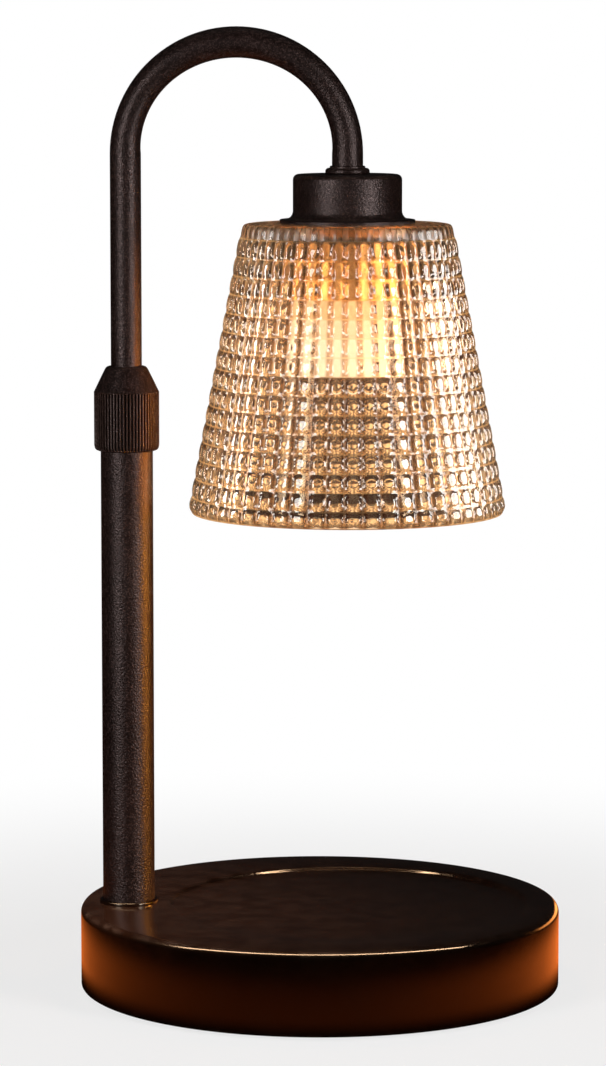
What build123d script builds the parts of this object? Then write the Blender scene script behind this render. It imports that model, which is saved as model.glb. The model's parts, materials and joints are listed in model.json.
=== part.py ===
"""Candle warmer lamp: weighted round base, post, sliding and swinging swan neck, glass shade.

Millimetres, +Z up. The origin is on the table under the centre of the round base.
The post stands on the left of the base at -X, and the lamp hangs over the seat at +X.
"""

import math
import os

from build123d import *

# Base
base_diameter = 150.0
base_height = 26.7
base_wall = 2.0
base_top_fillet = 2.5
base_foot_fillet = 0.8
foot_proud = 1.0
cover_thickness = 1.5

# Shallow seat in the top of the base
seat_x = 9.0
seat_edge_gap = 10.6
seat_depth = 1.4

# Counterweight
weight_edge_gap = 4.0
weight_thickness = 8.0
weight_post_chord = 20.0
raceway_width = 17.0

# Bosses, screws and feet of the bottom cover
screw_count = 4
screw_edge_gap = 11.0
screw_diameter = 3.0
screw_head_diameter = 5.8
screw_length = 9.0
boss_diameter = 8.0
shoulder_diameter = 13.0
foot_count = 4
foot_edge_gap = 13.0
foot_diameter = 12.0
foot_stem_diameter = 4.0

# Cord inlet
cord_bore_diameter = 5.4
gland_diameter = 11.0
gland_flange_diameter = 15.0
gland_flange_thickness = 2.0
gland_length = 12.5
gland_recess = 0.5

# Terminal block and leads
block_length = 16.0
block_width = 12.0
block_height = 9.0
block_boss_gap = 7.25
lead_diameter = 3.0
lead_bend_radius = 9.0
lead_run_height = 3.5

# Post and how it is fastened
post_edge_gap = 15.0
post_diameter = 16.2
post_wall = 1.2
post_length = 156.3
foot_ring_width = 1.1
foot_ring_height = 1.2
plug_length = 10.0
stud_diameter = 10.0
stud_bore_diameter = 6.0
stud_above = 8.3
stud_below = 1.3
washer_diameter = 18.0
washer_thickness = 1.2
nut_width = 16.0
nut_height = 5.0

# Clamp at the top of the post
collar_wall = 2.0
collar_height = 26.2
collar_overlap = 13.8
collar_shoulder_height = 17.4
collar_lip = 1.4
collar_dome_swell = 0.3
collar_foot_radius = 1.8
knurl_count = 60
knurl_depth = 0.35
collet_depth = 16.0
collet_flange_thickness = 1.2
collet_flange_inset = 0.1
collet_cone_length = 7.3
collet_cone_wall = 1.0
collet_slit = 0.8
throat_gap = 0.15
pressure_ring_height = 3.0
pressure_ring_wall = 0.3
pressure_ring_above_flange = 3.3
collar_lift_room = 0.9

# Swan neck
lamp_reach = 68.4
neck_diameter = 9.6
neck_wall = 0.95
neck_straight = 65.4
neck_hidden = 97.4
neck_short_leg = 5.2
bush_length = 10.4
bush_above_foot = 2.8
clip_height = 1.3
clip_gap = 0.1
clip_room = 0.6

# Lamp head
neck_ring_web = 1.0
neck_ring_height = 2.8
neck_ring_wall = 2.15
nipple_lead_gap = 0.9
nipple_below_cap = 4.8
cap_height = 14.5
cap_diameter = 33.7
cap_wall = 1.2
cap_top_radius = 1.5
cap_flange_width = 4.1
cap_flange_thickness = 1.0
cap_flare_radius = 2.6
cap_nut_wall = 2.2
cap_nut_height = 2.4
socket_plate_thickness = 1.2
socket_height = 12.4
socket_pocket_depth = 3.6
socket_front_web = 2.7
socket_screw_circle = 19.6
socket_screw_diameter = 3.0
socket_screw_head = 5.4
socket_screw_sink = 2.5
socket_screw_slot = 0.8
contact_size = 3.6
contact_thickness = 0.8

# Glass shade and what holds it
shade_height = 89.8
shade_top_diameter = 65.2
shade_bottom_diameter = 98.9
shade_wall = 3.2
shade_roof = 3.6
shade_top_radius = 2.0
shade_rim_radius = 1.4
shade_hole_gap = 0.5
gasket_thickness = 0.5
gasket_inset = 0.5
sleeve_gap = 0.25
sleeve_wall = 1.6
ring_flange_height = 6.5
ring_thread_height = 3.9
ring_skirt_wall = 1.3
ring_skirt_length = 12.0
ring_skirt_step = 1.8
ring_grip_count = 36
ring_grip_depth = 0.5

# Bulb with a two-pin twist-lock base
bulb_length = 46.5
bulb_diameter = 34.0
bulb_base_diameter = 24.6
bulb_base_length = 17.5
bulb_glass_wall = 1.2
bulb_flare_height = 9.0
bulb_lens_thickness = 2.0
bulb_lens_recess = 0.6
bulb_seat_gap = 0.3
pin_spacing = 10.0
pin_shank_diameter = 3.0
pin_shank_length = 5.0
pin_head_diameter = 4.9
pin_head_length = 2.0
pin_lock_angle = 20.0
capsule_diameter = 9.0
capsule_length = 22.0

# Clearances: close fits, loose fits, and how far a cutter overshoots
fit = 0.05
slip = 0.3
overshoot = 1.0

# Base: radii and levels that follow from the sizes above
base_radius = base_diameter / 2
cavity_radius = base_radius - base_wall
housing_bottom = foot_proud
cover_top = housing_bottom + cover_thickness
ceiling = base_height - base_wall
seat_radius = base_radius - seat_x - seat_edge_gap
seat_floor = base_height - seat_depth
seat_ceiling = seat_floor - base_wall
weight_radius = cavity_radius - weight_edge_gap
weight_top = cover_top + weight_thickness
gland_height = (cover_top + ceiling) / 2

# Post and clamp
post_x = post_edge_gap - base_radius
post_radius = post_diameter / 2
post_bore = post_radius - post_wall
post_top = base_height + post_length
stud_radius = stud_diameter / 2
stud_bottom = ceiling - washer_thickness - nut_height - stud_below
stud_top = base_height + stud_above
lead_radius = lead_diameter / 2
base_lead_top = stud_top + lead_radius / 2
neck_radius = neck_diameter / 2
neck_bore = neck_radius - neck_wall
collar_radius = post_radius + collar_wall
collar_bottom = post_top - collar_overlap
collar_shoulder = collar_bottom + collar_shoulder_height
collar_top = collar_bottom + collar_height
flange_top = post_top + collet_flange_thickness
collet_top = flange_top + collet_cone_length
collet_cone_end = neck_radius + collet_cone_wall
pressure_ring_bottom = flange_top + pressure_ring_above_flange
pressure_ring_top = pressure_ring_bottom + pressure_ring_height
pressure_ring_radius = post_bore + pressure_ring_wall

# Neck and lamp head, from the top down
lamp_x = post_x + lamp_reach
bend_x = (post_x + lamp_x) / 2
neck_spring_line = collar_top + neck_straight
neck_foot = collar_top - neck_hidden
clip_radius = post_bore - clip_room
neck_end = neck_spring_line - neck_short_leg
bush_bottom = neck_foot + bush_above_foot
bush_top = bush_bottom + bush_length
cap_top = neck_end - neck_ring_web
cap_floor = cap_top - cap_height
cap_roof = cap_top - cap_wall
cap_radius = cap_diameter / 2
cap_bore = cap_radius - cap_wall
cap_flange_radius = cap_radius + cap_flange_width
nipple_radius = neck_bore - fit
nipple_bore = lead_radius + nipple_lead_gap
nipple_hole = nipple_radius + fit
cap_nut_width = 2 * (nipple_radius + cap_nut_wall)
plate_bottom = cap_roof - socket_plate_thickness
socket_bottom = plate_bottom - socket_height
socket_pocket_floor = plate_bottom - socket_pocket_depth
sleeve_radius = cap_bore - sleeve_gap
sleeve_bore = sleeve_radius - sleeve_wall
socket_radius = sleeve_bore - 2 * sleeve_gap

# Shade and the ring that holds it
shade_top = cap_floor - gasket_thickness
shade_bottom = shade_top - shade_height
shade_ceiling = shade_top - shade_roof
shade_hole_radius = sleeve_radius + shade_hole_gap
gasket_radius = cap_flange_radius - gasket_inset
ring_top = shade_ceiling - gasket_thickness
ring_shoulder = ring_top - ring_flange_height
ring_bottom = ring_shoulder - ring_skirt_length
ring_skirt_bore = max(sleeve_radius + ring_skirt_step, bulb_diameter / 2 + slip)
ring_skirt_radius = ring_skirt_bore + ring_skirt_wall
sleeve_bottom = ring_top - ring_thread_height

# Bulb
bulb_back = socket_bottom - bulb_seat_gap
bulb_front = bulb_back - bulb_length
bulb_neck = bulb_back - bulb_base_length
pin_radius = pin_spacing / 2
pin_head_bottom = bulb_back + pin_shank_length
pin_top = pin_head_bottom + pin_head_length
contact_bottom = pin_top + slip
contact_top = contact_bottom + contact_thickness


def rod(x, y, radius, low, high):
    """A solid round bar standing on Z between two levels."""
    return Pos(x, y, (low + high) / 2) * Cylinder(radius, high - low)


def sleeve(x, y, outer, inner, low, high):
    """A straight tube standing on Z between two levels."""
    return rod(x, y, outer, low, high) - rod(x, y, inner, low - overshoot, high + overshoot)


def turned(x, y, *edges):
    """A turned piece: a closed outline in radius and height, turned about the vertical line at x, y."""
    section = make_face(Wire(edges))
    return Pos(x, y, 0) * revolve(Plane.XZ * section, Axis.Z)


def outline(*points):
    """The straight edges of a closed outline of radius and height pairs."""
    corners = list(points) + [points[0]]
    return [Line(a, b) for a, b in zip(corners, corners[1:])]


def block(x_low, x_high, y_low, y_high, z_low, z_high):
    """A straight block between its two corners."""
    size = Box(x_high - x_low, y_high - y_low, z_high - z_low)
    return Pos((x_low + x_high) / 2, (y_low + y_high) / 2, (z_low + z_high) / 2) * size


def arc_corner(radius):
    """How far the middle of a quarter round stays from the sides of its corner."""
    return radius * (1 - math.sqrt(0.5))


def on_circle(radius, count, first_degrees):
    """Places spaced evenly on a circle about the base's centre."""
    angles = [math.radians(first_degrees + 360 * i / count) for i in range(count)]
    return [(radius * math.cos(a), radius * math.sin(a)) for a in angles]


def hex_bar(x, y, width, low, high):
    """A six-sided bar of the given width across its flats."""
    side = RegularPolygon(width / 2, 6, major_radius=False)
    return Pos(x, y, low) * extrude(side, high - low)


screw_places = on_circle(base_radius - screw_edge_gap, screw_count, 180 / screw_count)
foot_places = on_circle(base_radius - foot_edge_gap, foot_count, 0)
block_end = screw_places[0][1] - boss_diameter / 2 - block_boss_gap
block_start = block_end - block_width


def make_seat_cutter():
    """What the shallow seat takes out of the base's top, with a rounded lip and a rounded foot."""
    lip = 0.6 * seat_depth
    foot = 0.3 * seat_depth
    lip_corner = arc_corner(lip)
    foot_corner = arc_corner(foot)
    clear = base_height + overshoot
    edges = [
        Line((0, seat_floor), (seat_radius - foot, seat_floor)),
        ThreePointArc(
            (seat_radius - foot, seat_floor),
            (seat_radius - foot_corner, seat_floor + foot_corner),
            (seat_radius, seat_floor + foot),
        ),
        Line((seat_radius, seat_floor + foot), (seat_radius, base_height - lip)),
        ThreePointArc(
            (seat_radius, base_height - lip),
            (seat_radius + lip_corner, base_height - lip_corner),
            (seat_radius + lip, base_height),
        ),
        Line((seat_radius + lip, base_height), (seat_radius + lip, clear)),
        Line((seat_radius + lip, clear), (0, clear)),
        Line((0, clear), (0, seat_floor)),
    ]
    return turned(seat_x, 0, *edges)


def make_base_shell():
    """The outer body of the base, round at its top and bottom edges."""
    top = base_top_fillet
    foot = base_foot_fillet
    top_corner = arc_corner(top)
    foot_corner = arc_corner(foot)
    edges = [
        Line((0, housing_bottom), (base_radius - foot, housing_bottom)),
        ThreePointArc(
            (base_radius - foot, housing_bottom),
            (base_radius - foot_corner, housing_bottom + foot_corner),
            (base_radius, housing_bottom + foot),
        ),
        Line((base_radius, housing_bottom + foot), (base_radius, base_height - top)),
        ThreePointArc(
            (base_radius, base_height - top),
            (base_radius - top_corner, base_height - top_corner),
            (base_radius - top, base_height),
        ),
        Line((base_radius - top, base_height), (0, base_height)),
        Line((0, base_height), (0, housing_bottom)),
    ]
    return turned(0, 0, *edges)


def make_base_housing():
    """A closed-top shell with a soft seat, bosses for the cover, a post hole and a cord hole."""
    cavity = rod(0, 0, cavity_radius, housing_bottom - overshoot, ceiling)
    cavity -= rod(seat_x, 0, seat_radius + base_wall, seat_ceiling, ceiling + overshoot)
    housing = make_base_shell() - make_seat_cutter() - cavity
    for x, y in screw_places:
        housing += rod(x, y, shoulder_diameter / 2, weight_top, ceiling)
        housing += rod(x, y, boss_diameter / 2, cover_top, ceiling)
    pilot_top = housing_bottom + screw_length + overshoot
    for x, y in screw_places:
        housing -= rod(x, y, screw_diameter / 2 + fit, housing_bottom, pilot_top)
    housing -= rod(post_x, 0, stud_radius + slip, seat_ceiling, base_height + overshoot)
    inlet = Rot(90, 0, 0) * Cylinder(gland_diameter / 2 + fit, 4 * base_wall)
    return housing - Pos(0, cavity_radius, gland_height) * inlet


def make_bottom_cover():
    """A flat steel disc with countersunk screw holes and holes for the feet."""
    cover = rod(0, 0, cavity_radius - slip, housing_bottom, cover_top)
    for x, y in screw_places:
        cover -= countersunk(x, y, fit)
    for x, y in foot_places:
        stem = foot_stem_diameter / 2 + fit
        cover -= rod(x, y, stem, housing_bottom - overshoot, cover_top + overshoot)
    return cover


def countersunk(x, y, gap):
    """A countersunk screw standing head down, or the room that it needs when a gap is given."""
    head = screw_head_diameter / 2 + gap
    shank = screw_diameter / 2 + gap
    head_top = housing_bottom + head - shank
    tip = housing_bottom + screw_length
    edges = outline((0, housing_bottom), (head, housing_bottom), (shank, head_top), (shank, tip), (0, tip))
    return turned(x, y, *edges)


def make_cover_screws():
    """Four countersunk screws, each with a hexagon socket in its head."""
    screws = []
    for x, y in screw_places:
        drive_top = housing_bottom + screw_diameter / 2
        drive = hex_bar(x, y, screw_diameter * 0.6, housing_bottom - overshoot, drive_top)
        screws.append(countersunk(x, y, 0) - drive)
    return screws


def make_rubber_feet():
    """Round push-in feet: a disc on the table and a stem through the cover."""
    feet = []
    for x, y in foot_places:
        foot = rod(x, y, foot_diameter / 2, 0, housing_bottom)
        rims = foot.edges().filter_by(GeomType.CIRCLE).sort_by(Axis.Z)
        foot = fillet(rims[0], foot_proud / 4)
        feet.append(foot + rod(x, y, foot_stem_diameter / 2, housing_bottom, cover_top))
    return feet


def make_counterweight():
    """A cast disc that rests on the cover, cut away for the post's nut and for the cord's way in."""
    weight = rod(0, 0, weight_radius, cover_top, weight_top)
    weight -= block(-base_radius, post_x + weight_post_chord, -base_radius, base_radius, 0, base_height)
    race_start = weight_radius - raceway_width
    weight -= block(-base_radius, gland_flange_diameter, race_start, base_radius, 0, base_height)
    for x, y in screw_places:
        weight -= rod(x, y, boss_diameter / 2 + slip, 0, base_height)
    return weight


def make_cord_gland():
    """A bush in the back wall with a bore for the cord and a flange inside the wall."""
    mouth = base_radius - gland_recess
    body = Pos(0, mouth - gland_length / 2, 0) * Rot(90, 0, 0) * Cylinder(gland_diameter / 2, gland_length)
    flange_face = math.sqrt(cavity_radius**2 - (gland_flange_diameter / 2) ** 2) - fit
    flange_middle = flange_face - gland_flange_thickness / 2
    flange = Rot(90, 0, 0) * Cylinder(gland_flange_diameter / 2, gland_flange_thickness)
    body += Pos(0, flange_middle, 0) * flange
    body -= Pos(0, mouth, 0) * Rot(90, 0, 0) * Cylinder(cord_bore_diameter / 2, 3 * gland_length)
    return Pos(0, 0, gland_height) * body


def make_terminal_block():
    """A two-pole block on the cover, with a screw well over each pole."""
    start_x = post_x - lead_radius - fit
    block_top = cover_top + block_height
    body = block(start_x, start_x + block_length, block_start, block_end, cover_top, block_top)
    for share in (0.25, 0.75):
        well_x = start_x + share * block_length
        well_y = block_start + block_width / 2
        body -= rod(well_x, well_y, block_width / 6, block_top - block_height / 2, block_top + overshoot)
    return body


def make_base_lead():
    """The lead from the terminal block, flat along the cover and up through the hollow stud."""
    run_height = cover_top + lead_run_height
    first = (post_x, block_start, run_height)
    corner = (post_x, 0, run_height)
    path = FilletPolyline(first, corner, (post_x, 0, base_lead_top), radius=lead_bend_radius)
    start = Plane(origin=path @ 0, z_dir=path % 0)
    return sweep(start * Circle(lead_radius), path)


def make_post_tube():
    """The straight post, standing on the base."""
    return sleeve(post_x, 0, post_radius, post_bore, base_height, post_top)


def make_foot_ring():
    """A thin trim ring round the foot of the post."""
    outer = post_radius + foot_ring_width
    ring = sleeve(post_x, 0, outer, post_radius + fit, base_height, base_height + foot_ring_height)
    rims = [e for e in ring.edges().filter_by(GeomType.CIRCLE) if abs(e.radius - outer) < fit]
    return fillet(max(rims, key=lambda e: e.center().Z), foot_ring_height / 3)


def make_post_plug():
    """The plug in the post's lower end that takes the stud."""
    return sleeve(post_x, 0, post_bore - fit, stud_radius + fit, base_height, base_height + plug_length)


def make_post_stud():
    """The hollow stud between the plug and the nut, open for the lead."""
    return sleeve(post_x, 0, stud_radius, stud_bore_diameter / 2, stud_bottom, stud_top)


def make_post_washer():
    """The washer under the ceiling of the base."""
    return sleeve(post_x, 0, washer_diameter / 2, stud_radius + fit, ceiling - washer_thickness, ceiling)


def make_post_nut():
    """The nut that clamps the post."""
    nut_top = ceiling - washer_thickness
    nut = hex_bar(post_x, 0, nut_width, nut_top - nut_height, nut_top)
    return nut - rod(post_x, 0, stud_radius + fit, nut_top - nut_height - overshoot, nut_top + overshoot)


def make_clamp_collet():
    """A nylon bush in the top of the post with a slit cone that grips the neck."""
    bore = neck_radius + fit
    flange = post_radius - collet_flange_inset
    bush = outline(
        (bore, post_top - collet_depth),
        (post_bore - fit, post_top - collet_depth),
        (post_bore - fit, post_top),
        (flange, post_top),
        (flange, flange_top),
        (post_bore, flange_top),
        (collet_cone_end, collet_top),
        (bore, collet_top),
    )
    collet = turned(post_x, 0, *bush)
    slit_low = flange_top + collet_slit
    slit_high = collet_top + overshoot
    slit = Box(post_diameter, collet_slit, slit_high - slit_low)
    for angle in (45, 135):
        collet -= Pos(post_x, 0, (slit_low + slit_high) / 2) * Rot(0, 0, angle) * slit
    return collet


def collet_cone_radius(level):
    """The collet cone's outer radius at a level."""
    share = (level - flange_top) / collet_cone_length
    return post_bore + share * (collet_cone_end - post_bore)


def make_pressure_ring():
    """The ring inside the collar that is pushed down the collet's cone."""
    low_bore = collet_cone_radius(pressure_ring_bottom) + fit
    high_bore = collet_cone_radius(pressure_ring_top) + fit
    ring = outline(
        (low_bore, pressure_ring_bottom),
        (pressure_ring_radius, pressure_ring_bottom),
        (pressure_ring_radius, pressure_ring_top),
        (high_bore, pressure_ring_top),
    )
    return turned(post_x, 0, *ring)


def make_lock_collar():
    """The knurled collar: threaded on the post, with a domed shoulder round the neck."""
    mouth = neck_radius + fit
    lip = neck_radius + collar_lip
    dome_radius = (collar_radius + lip) / 2 + collar_dome_swell
    dome_level = (collar_shoulder + collar_top) / 2
    thread = post_radius + fit
    relief = pressure_ring_radius + fit
    relief_bottom = flange_top + collar_lift_room
    throat = collet_cone_radius(pressure_ring_top) + throat_gap
    throat_top = collet_top + collar_lift_room
    foot = collar_foot_radius
    corner = arc_corner(foot)
    edges = [
        Line((thread, collar_bottom), (collar_radius - foot, collar_bottom)),
        ThreePointArc(
            (collar_radius - foot, collar_bottom),
            (collar_radius - corner, collar_bottom + corner),
            (collar_radius, collar_bottom + foot),
        ),
        Line((collar_radius, collar_bottom + foot), (collar_radius, collar_shoulder)),
        ThreePointArc((collar_radius, collar_shoulder), (dome_radius, dome_level), (lip, collar_top)),
        Line((lip, collar_top), (mouth, collar_top)),
        Line((mouth, collar_top), (mouth, throat_top)),
        Line((mouth, throat_top), (throat, throat_top)),
        Line((throat, throat_top), (throat, pressure_ring_top)),
        Line((throat, pressure_ring_top), (relief, pressure_ring_top)),
        Line((relief, pressure_ring_top), (relief, relief_bottom)),
        Line((relief, relief_bottom), (thread, relief_bottom)),
        Line((thread, relief_bottom), (thread, collar_bottom)),
    ]
    collar = turned(post_x, 0, *edges)
    groove_radius = 2 * math.pi * collar_radius / knurl_count / 3
    groove_low = collar_bottom + foot
    groove = Cylinder(groove_radius, collar_shoulder - groove_low)
    groove_place = Pos(collar_radius + groove_radius - knurl_depth, 0, 0)
    middle = Pos(post_x, 0, (groove_low + collar_shoulder) / 2)
    turns = [Rot(0, 0, 360 * i / knurl_count) for i in range(knurl_count)]
    return collar - [middle * turn * groove_place * groove for turn in turns]


def swan_neck(radius, low, end):
    """A round bar up the post's axis, over the half circle and down the lamp's axis."""
    bar = rod(post_x, 0, radius, low, neck_spring_line)
    section = Plane.XY * Pos(post_x, 0) * Circle(radius)
    bend = revolve(section, Axis((bend_x, 0, 0), (0, 1, 0)), 180)
    bar += Pos(0, 0, neck_spring_line) * bend
    return bar + rod(lamp_x, 0, radius, end, neck_spring_line)


def make_neck_tube():
    """The swan neck: a thin tube with one half-circle bend."""
    tube = swan_neck(neck_radius, neck_foot, neck_end)
    return tube - swan_neck(neck_bore, neck_foot - overshoot, neck_end - overshoot)


def make_guide_bush():
    """The nylon bush that slides in the post and lets the neck turn in it."""
    return sleeve(post_x, 0, post_bore - fit, neck_radius + fit, bush_bottom, bush_top)


def make_guide_clips():
    """Two rings on the neck that carry the guide bush up and down."""
    low = bush_bottom - clip_gap
    high = bush_top + clip_gap
    bore = neck_radius + fit
    below = sleeve(post_x, 0, clip_radius, bore, low - clip_height, low)
    above = sleeve(post_x, 0, clip_radius, bore, high, high + clip_height)
    return [below, above]


def make_post_lead():
    """The slack lead in the post, between the base and the neck."""
    return rod(post_x, 0, lead_radius, base_lead_top, neck_foot - slip)


def make_neck_lead():
    """The lead inside the neck, down to the lamp socket."""
    return swan_neck(lead_radius, neck_foot, socket_pocket_floor)


def make_neck_ring():
    """The ring that closes the gap between the neck's end and the cap."""
    top = cap_top + neck_ring_height
    bore = neck_radius + fit
    outer = neck_radius + neck_ring_wall
    edge = neck_ring_height / 4
    corner = arc_corner(edge)
    edges = [
        Line((nipple_hole, cap_top), (outer, cap_top)),
        Line((outer, cap_top), (outer, top - edge)),
        ThreePointArc((outer, top - edge), (outer - corner, top - corner), (outer - edge, top)),
        Line((outer - edge, top), (bore, top)),
        Line((bore, top), (bore, neck_end)),
        Line((bore, neck_end), (nipple_hole, neck_end)),
        Line((nipple_hole, neck_end), (nipple_hole, cap_top)),
    ]
    return turned(lamp_x, 0, *edges)


def make_neck_nipple():
    """The hollow nipple from the neck's end into the cap."""
    return sleeve(lamp_x, 0, nipple_radius, nipple_bore, cap_top - nipple_below_cap, neck_spring_line)


def make_cap_nut():
    """The nut inside the cap."""
    nut = hex_bar(lamp_x, 0, cap_nut_width, plate_bottom - cap_nut_height, plate_bottom)
    return nut - rod(lamp_x, 0, nipple_hole, socket_bottom, cap_top)


def make_holder_cap():
    """The cup over the socket, with a rounded top and a flared flange."""
    flange_level = cap_floor + cap_flange_thickness
    flare = cap_flare_radius
    swell = arc_corner(flare)
    crown = cap_top_radius
    corner = arc_corner(crown)
    edges = [
        Line((cap_bore, cap_floor), (cap_flange_radius, cap_floor)),
        Line((cap_flange_radius, cap_floor), (cap_flange_radius, flange_level)),
        Line((cap_flange_radius, flange_level), (cap_radius + flare, flange_level)),
        ThreePointArc(
            (cap_radius + flare, flange_level),
            (cap_radius + swell, flange_level + swell),
            (cap_radius, flange_level + flare),
        ),
        Line((cap_radius, flange_level + flare), (cap_radius, cap_top - crown)),
        ThreePointArc(
            (cap_radius, cap_top - crown),
            (cap_radius - corner, cap_top - corner),
            (cap_radius - crown, cap_top),
        ),
        Line((cap_radius - crown, cap_top), (nipple_hole, cap_top)),
        Line((nipple_hole, cap_top), (nipple_hole, cap_roof)),
        Line((nipple_hole, cap_roof), (cap_bore, cap_roof)),
        Line((cap_bore, cap_roof), (cap_bore, cap_floor)),
    ]
    return turned(lamp_x, 0, *edges)


def socket_screw_places():
    """Where the two socket screws stand."""
    return [(lamp_x, socket_screw_circle / 2), (lamp_x, -socket_screw_circle / 2)]


def make_socket_plate():
    """The steel plate under the cap's roof that the socket is screwed to."""
    plate = sleeve(lamp_x, 0, sleeve_radius - fit, nipple_hole, plate_bottom, cap_roof)
    for x, y in socket_screw_places():
        plate -= rod(x, y, socket_screw_diameter / 2 + fit, plate_bottom - overshoot, cap_roof + overshoot)
    return plate


def make_socket_screws():
    """Two pan-head screws that hold the socket to its plate."""
    head_top = socket_bottom + socket_screw_sink
    head_low = head_top - socket_screw_diameter / 2
    half = socket_screw_slot / 2
    screws = []
    for x, y in socket_screw_places():
        screw = rod(x, y, socket_screw_head / 2, head_low, head_top)
        screw += rod(x, y, socket_screw_diameter / 2, head_top, cap_roof)
        reach = socket_screw_head
        screws.append(screw - block(x - reach, x + reach, y - half, y + half, head_low, head_low + half))
    return screws


def pin_channel(width, low, high):
    """The curved ways of both pins between their locked and their free places."""
    near = pin_radius - width / 2
    far = pin_radius + width / 2
    section = make_face(Wire(outline((near, low), (far, low), (far, high), (near, high))))
    ways = []
    for locked in (0, 180):
        free = locked - pin_lock_angle
        ways.append(Rot(0, 0, free) * revolve(Plane.XZ * section, Axis.Z, pin_lock_angle))
        for angle in (locked, free):
            ways.append(Rot(0, 0, angle) * rod(pin_radius, 0, width / 2, low, high))
    return [Pos(lamp_x, 0, 0) * way for way in ways]


def make_lamp_socket():
    """The ceramic socket: two curved keyholes for the pins, a pocket for the nut, two screw holes."""
    pocket_radius = cap_nut_width / 2 / math.cos(math.radians(30)) + slip
    web_top = socket_bottom + socket_front_web
    socket = rod(lamp_x, 0, socket_radius, socket_bottom, plate_bottom)
    socket -= rod(lamp_x, 0, pocket_radius, socket_pocket_floor, plate_bottom + overshoot)
    socket -= pin_channel(pin_shank_diameter + 2 * slip, socket_bottom - overshoot, web_top)
    socket -= pin_channel(pin_head_diameter + 2 * slip, web_top, contact_top)
    for free in (-pin_lock_angle, 180 - pin_lock_angle):
        keyhole = rod(pin_radius, 0, pin_head_diameter / 2 + slip, socket_bottom - overshoot, web_top)
        socket -= Pos(lamp_x, 0, 0) * Rot(0, 0, free) * keyhole
    for x, y in socket_screw_places():
        sink_top = socket_bottom + socket_screw_sink
        socket -= rod(x, y, socket_screw_head / 2 + slip, socket_bottom - overshoot, sink_top)
        socket -= rod(x, y, socket_screw_diameter / 2 + fit, socket_bottom, plate_bottom + overshoot)
    return socket


def make_socket_contacts():
    """Two spring contacts at the top of the pins' ways."""
    half = contact_size / 2
    contacts = []
    for x in (lamp_x + pin_radius, lamp_x - pin_radius):
        contacts.append(block(x - half, x + half, -half, half, contact_bottom, contact_top))
    return contacts


def make_holder_sleeve():
    """The threaded sleeve that hangs from the plate through the glass."""
    return sleeve(lamp_x, 0, sleeve_radius, sleeve_bore, sleeve_bottom, plate_bottom)


def make_shade_gaskets():
    """Two soft rings, one above and one below the glass."""
    bore = sleeve_radius + slip
    upper = sleeve(lamp_x, 0, gasket_radius, bore, shade_top, cap_floor)
    lower = sleeve(lamp_x, 0, gasket_radius, bore, ring_top, shade_ceiling)
    return [upper, lower]


def make_shade_ring():
    """The ring screwed on the sleeve from below: a grooved flange and a skirt round the bulb."""
    bore = sleeve_radius + fit
    step = sleeve_bottom - slip
    edges = outline(
        (bore, ring_top),
        (cap_flange_radius, ring_top),
        (cap_flange_radius, ring_shoulder),
        (ring_skirt_radius, ring_shoulder),
        (ring_skirt_radius, ring_bottom),
        (ring_skirt_bore, ring_bottom),
        (ring_skirt_bore, step),
        (bore, step),
    )
    ring = turned(lamp_x, 0, *edges)
    groove = Cylinder(2 * ring_grip_depth, ring_flange_height)
    groove_place = Pos(cap_flange_radius + ring_grip_depth, 0, 0)
    middle = Pos(lamp_x, 0, (ring_top + ring_shoulder) / 2)
    turns = [Rot(0, 0, 360 * i / ring_grip_count) for i in range(ring_grip_count)]
    return ring - [middle * turn * groove_place * groove for turn in turns]


def make_glass_shade():
    """A cone of pressed glass, open below, with a thick roof and a hole for the sleeve."""
    top = shade_top_diameter / 2
    bottom = shade_bottom_diameter / 2
    slope = (bottom - top) / shade_height
    inner_top = top + slope * shade_roof - shade_wall
    inner_bottom = bottom - shade_wall + slope * overshoot
    cone = outline((0, shade_bottom), (bottom, shade_bottom), (top, shade_top), (0, shade_top))
    body = turned(lamp_x, 0, *cone)
    rims = body.edges().filter_by(GeomType.CIRCLE).sort_by(Axis.Z)
    body = fillet(rims[-1], shade_top_radius)
    low = shade_bottom - overshoot
    inside = outline((0, low), (inner_bottom, low), (inner_top, shade_ceiling), (0, shade_ceiling))
    body -= turned(lamp_x, 0, *inside)
    body -= rod(lamp_x, 0, shade_hole_radius, shade_ceiling - overshoot, shade_top + overshoot)
    rims = body.edges().filter_by(GeomType.CIRCLE).sort_by(Axis.Z)[:2]
    return fillet(rims, min(shade_rim_radius, shade_wall * 0.45))


def make_bulb_base():
    """The bulb's base, with a bevel towards the pins."""
    radius = bulb_base_diameter / 2
    bevel = radius / 12
    base = outline(
        (0, bulb_neck),
        (radius, bulb_neck),
        (radius, bulb_back - 3 * bevel),
        (radius - bevel, bulb_back),
        (0, bulb_back),
    )
    return turned(lamp_x, 0, *base)


def make_bulb_pins():
    """Two pins with a wide head at the end."""
    pins = []
    for x in (lamp_x + pin_radius, lamp_x - pin_radius):
        shank = rod(x, 0, pin_shank_diameter / 2, bulb_back, pin_head_bottom)
        pins.append(shank + rod(x, 0, pin_head_diameter / 2, pin_head_bottom, pin_top))
    return pins


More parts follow.
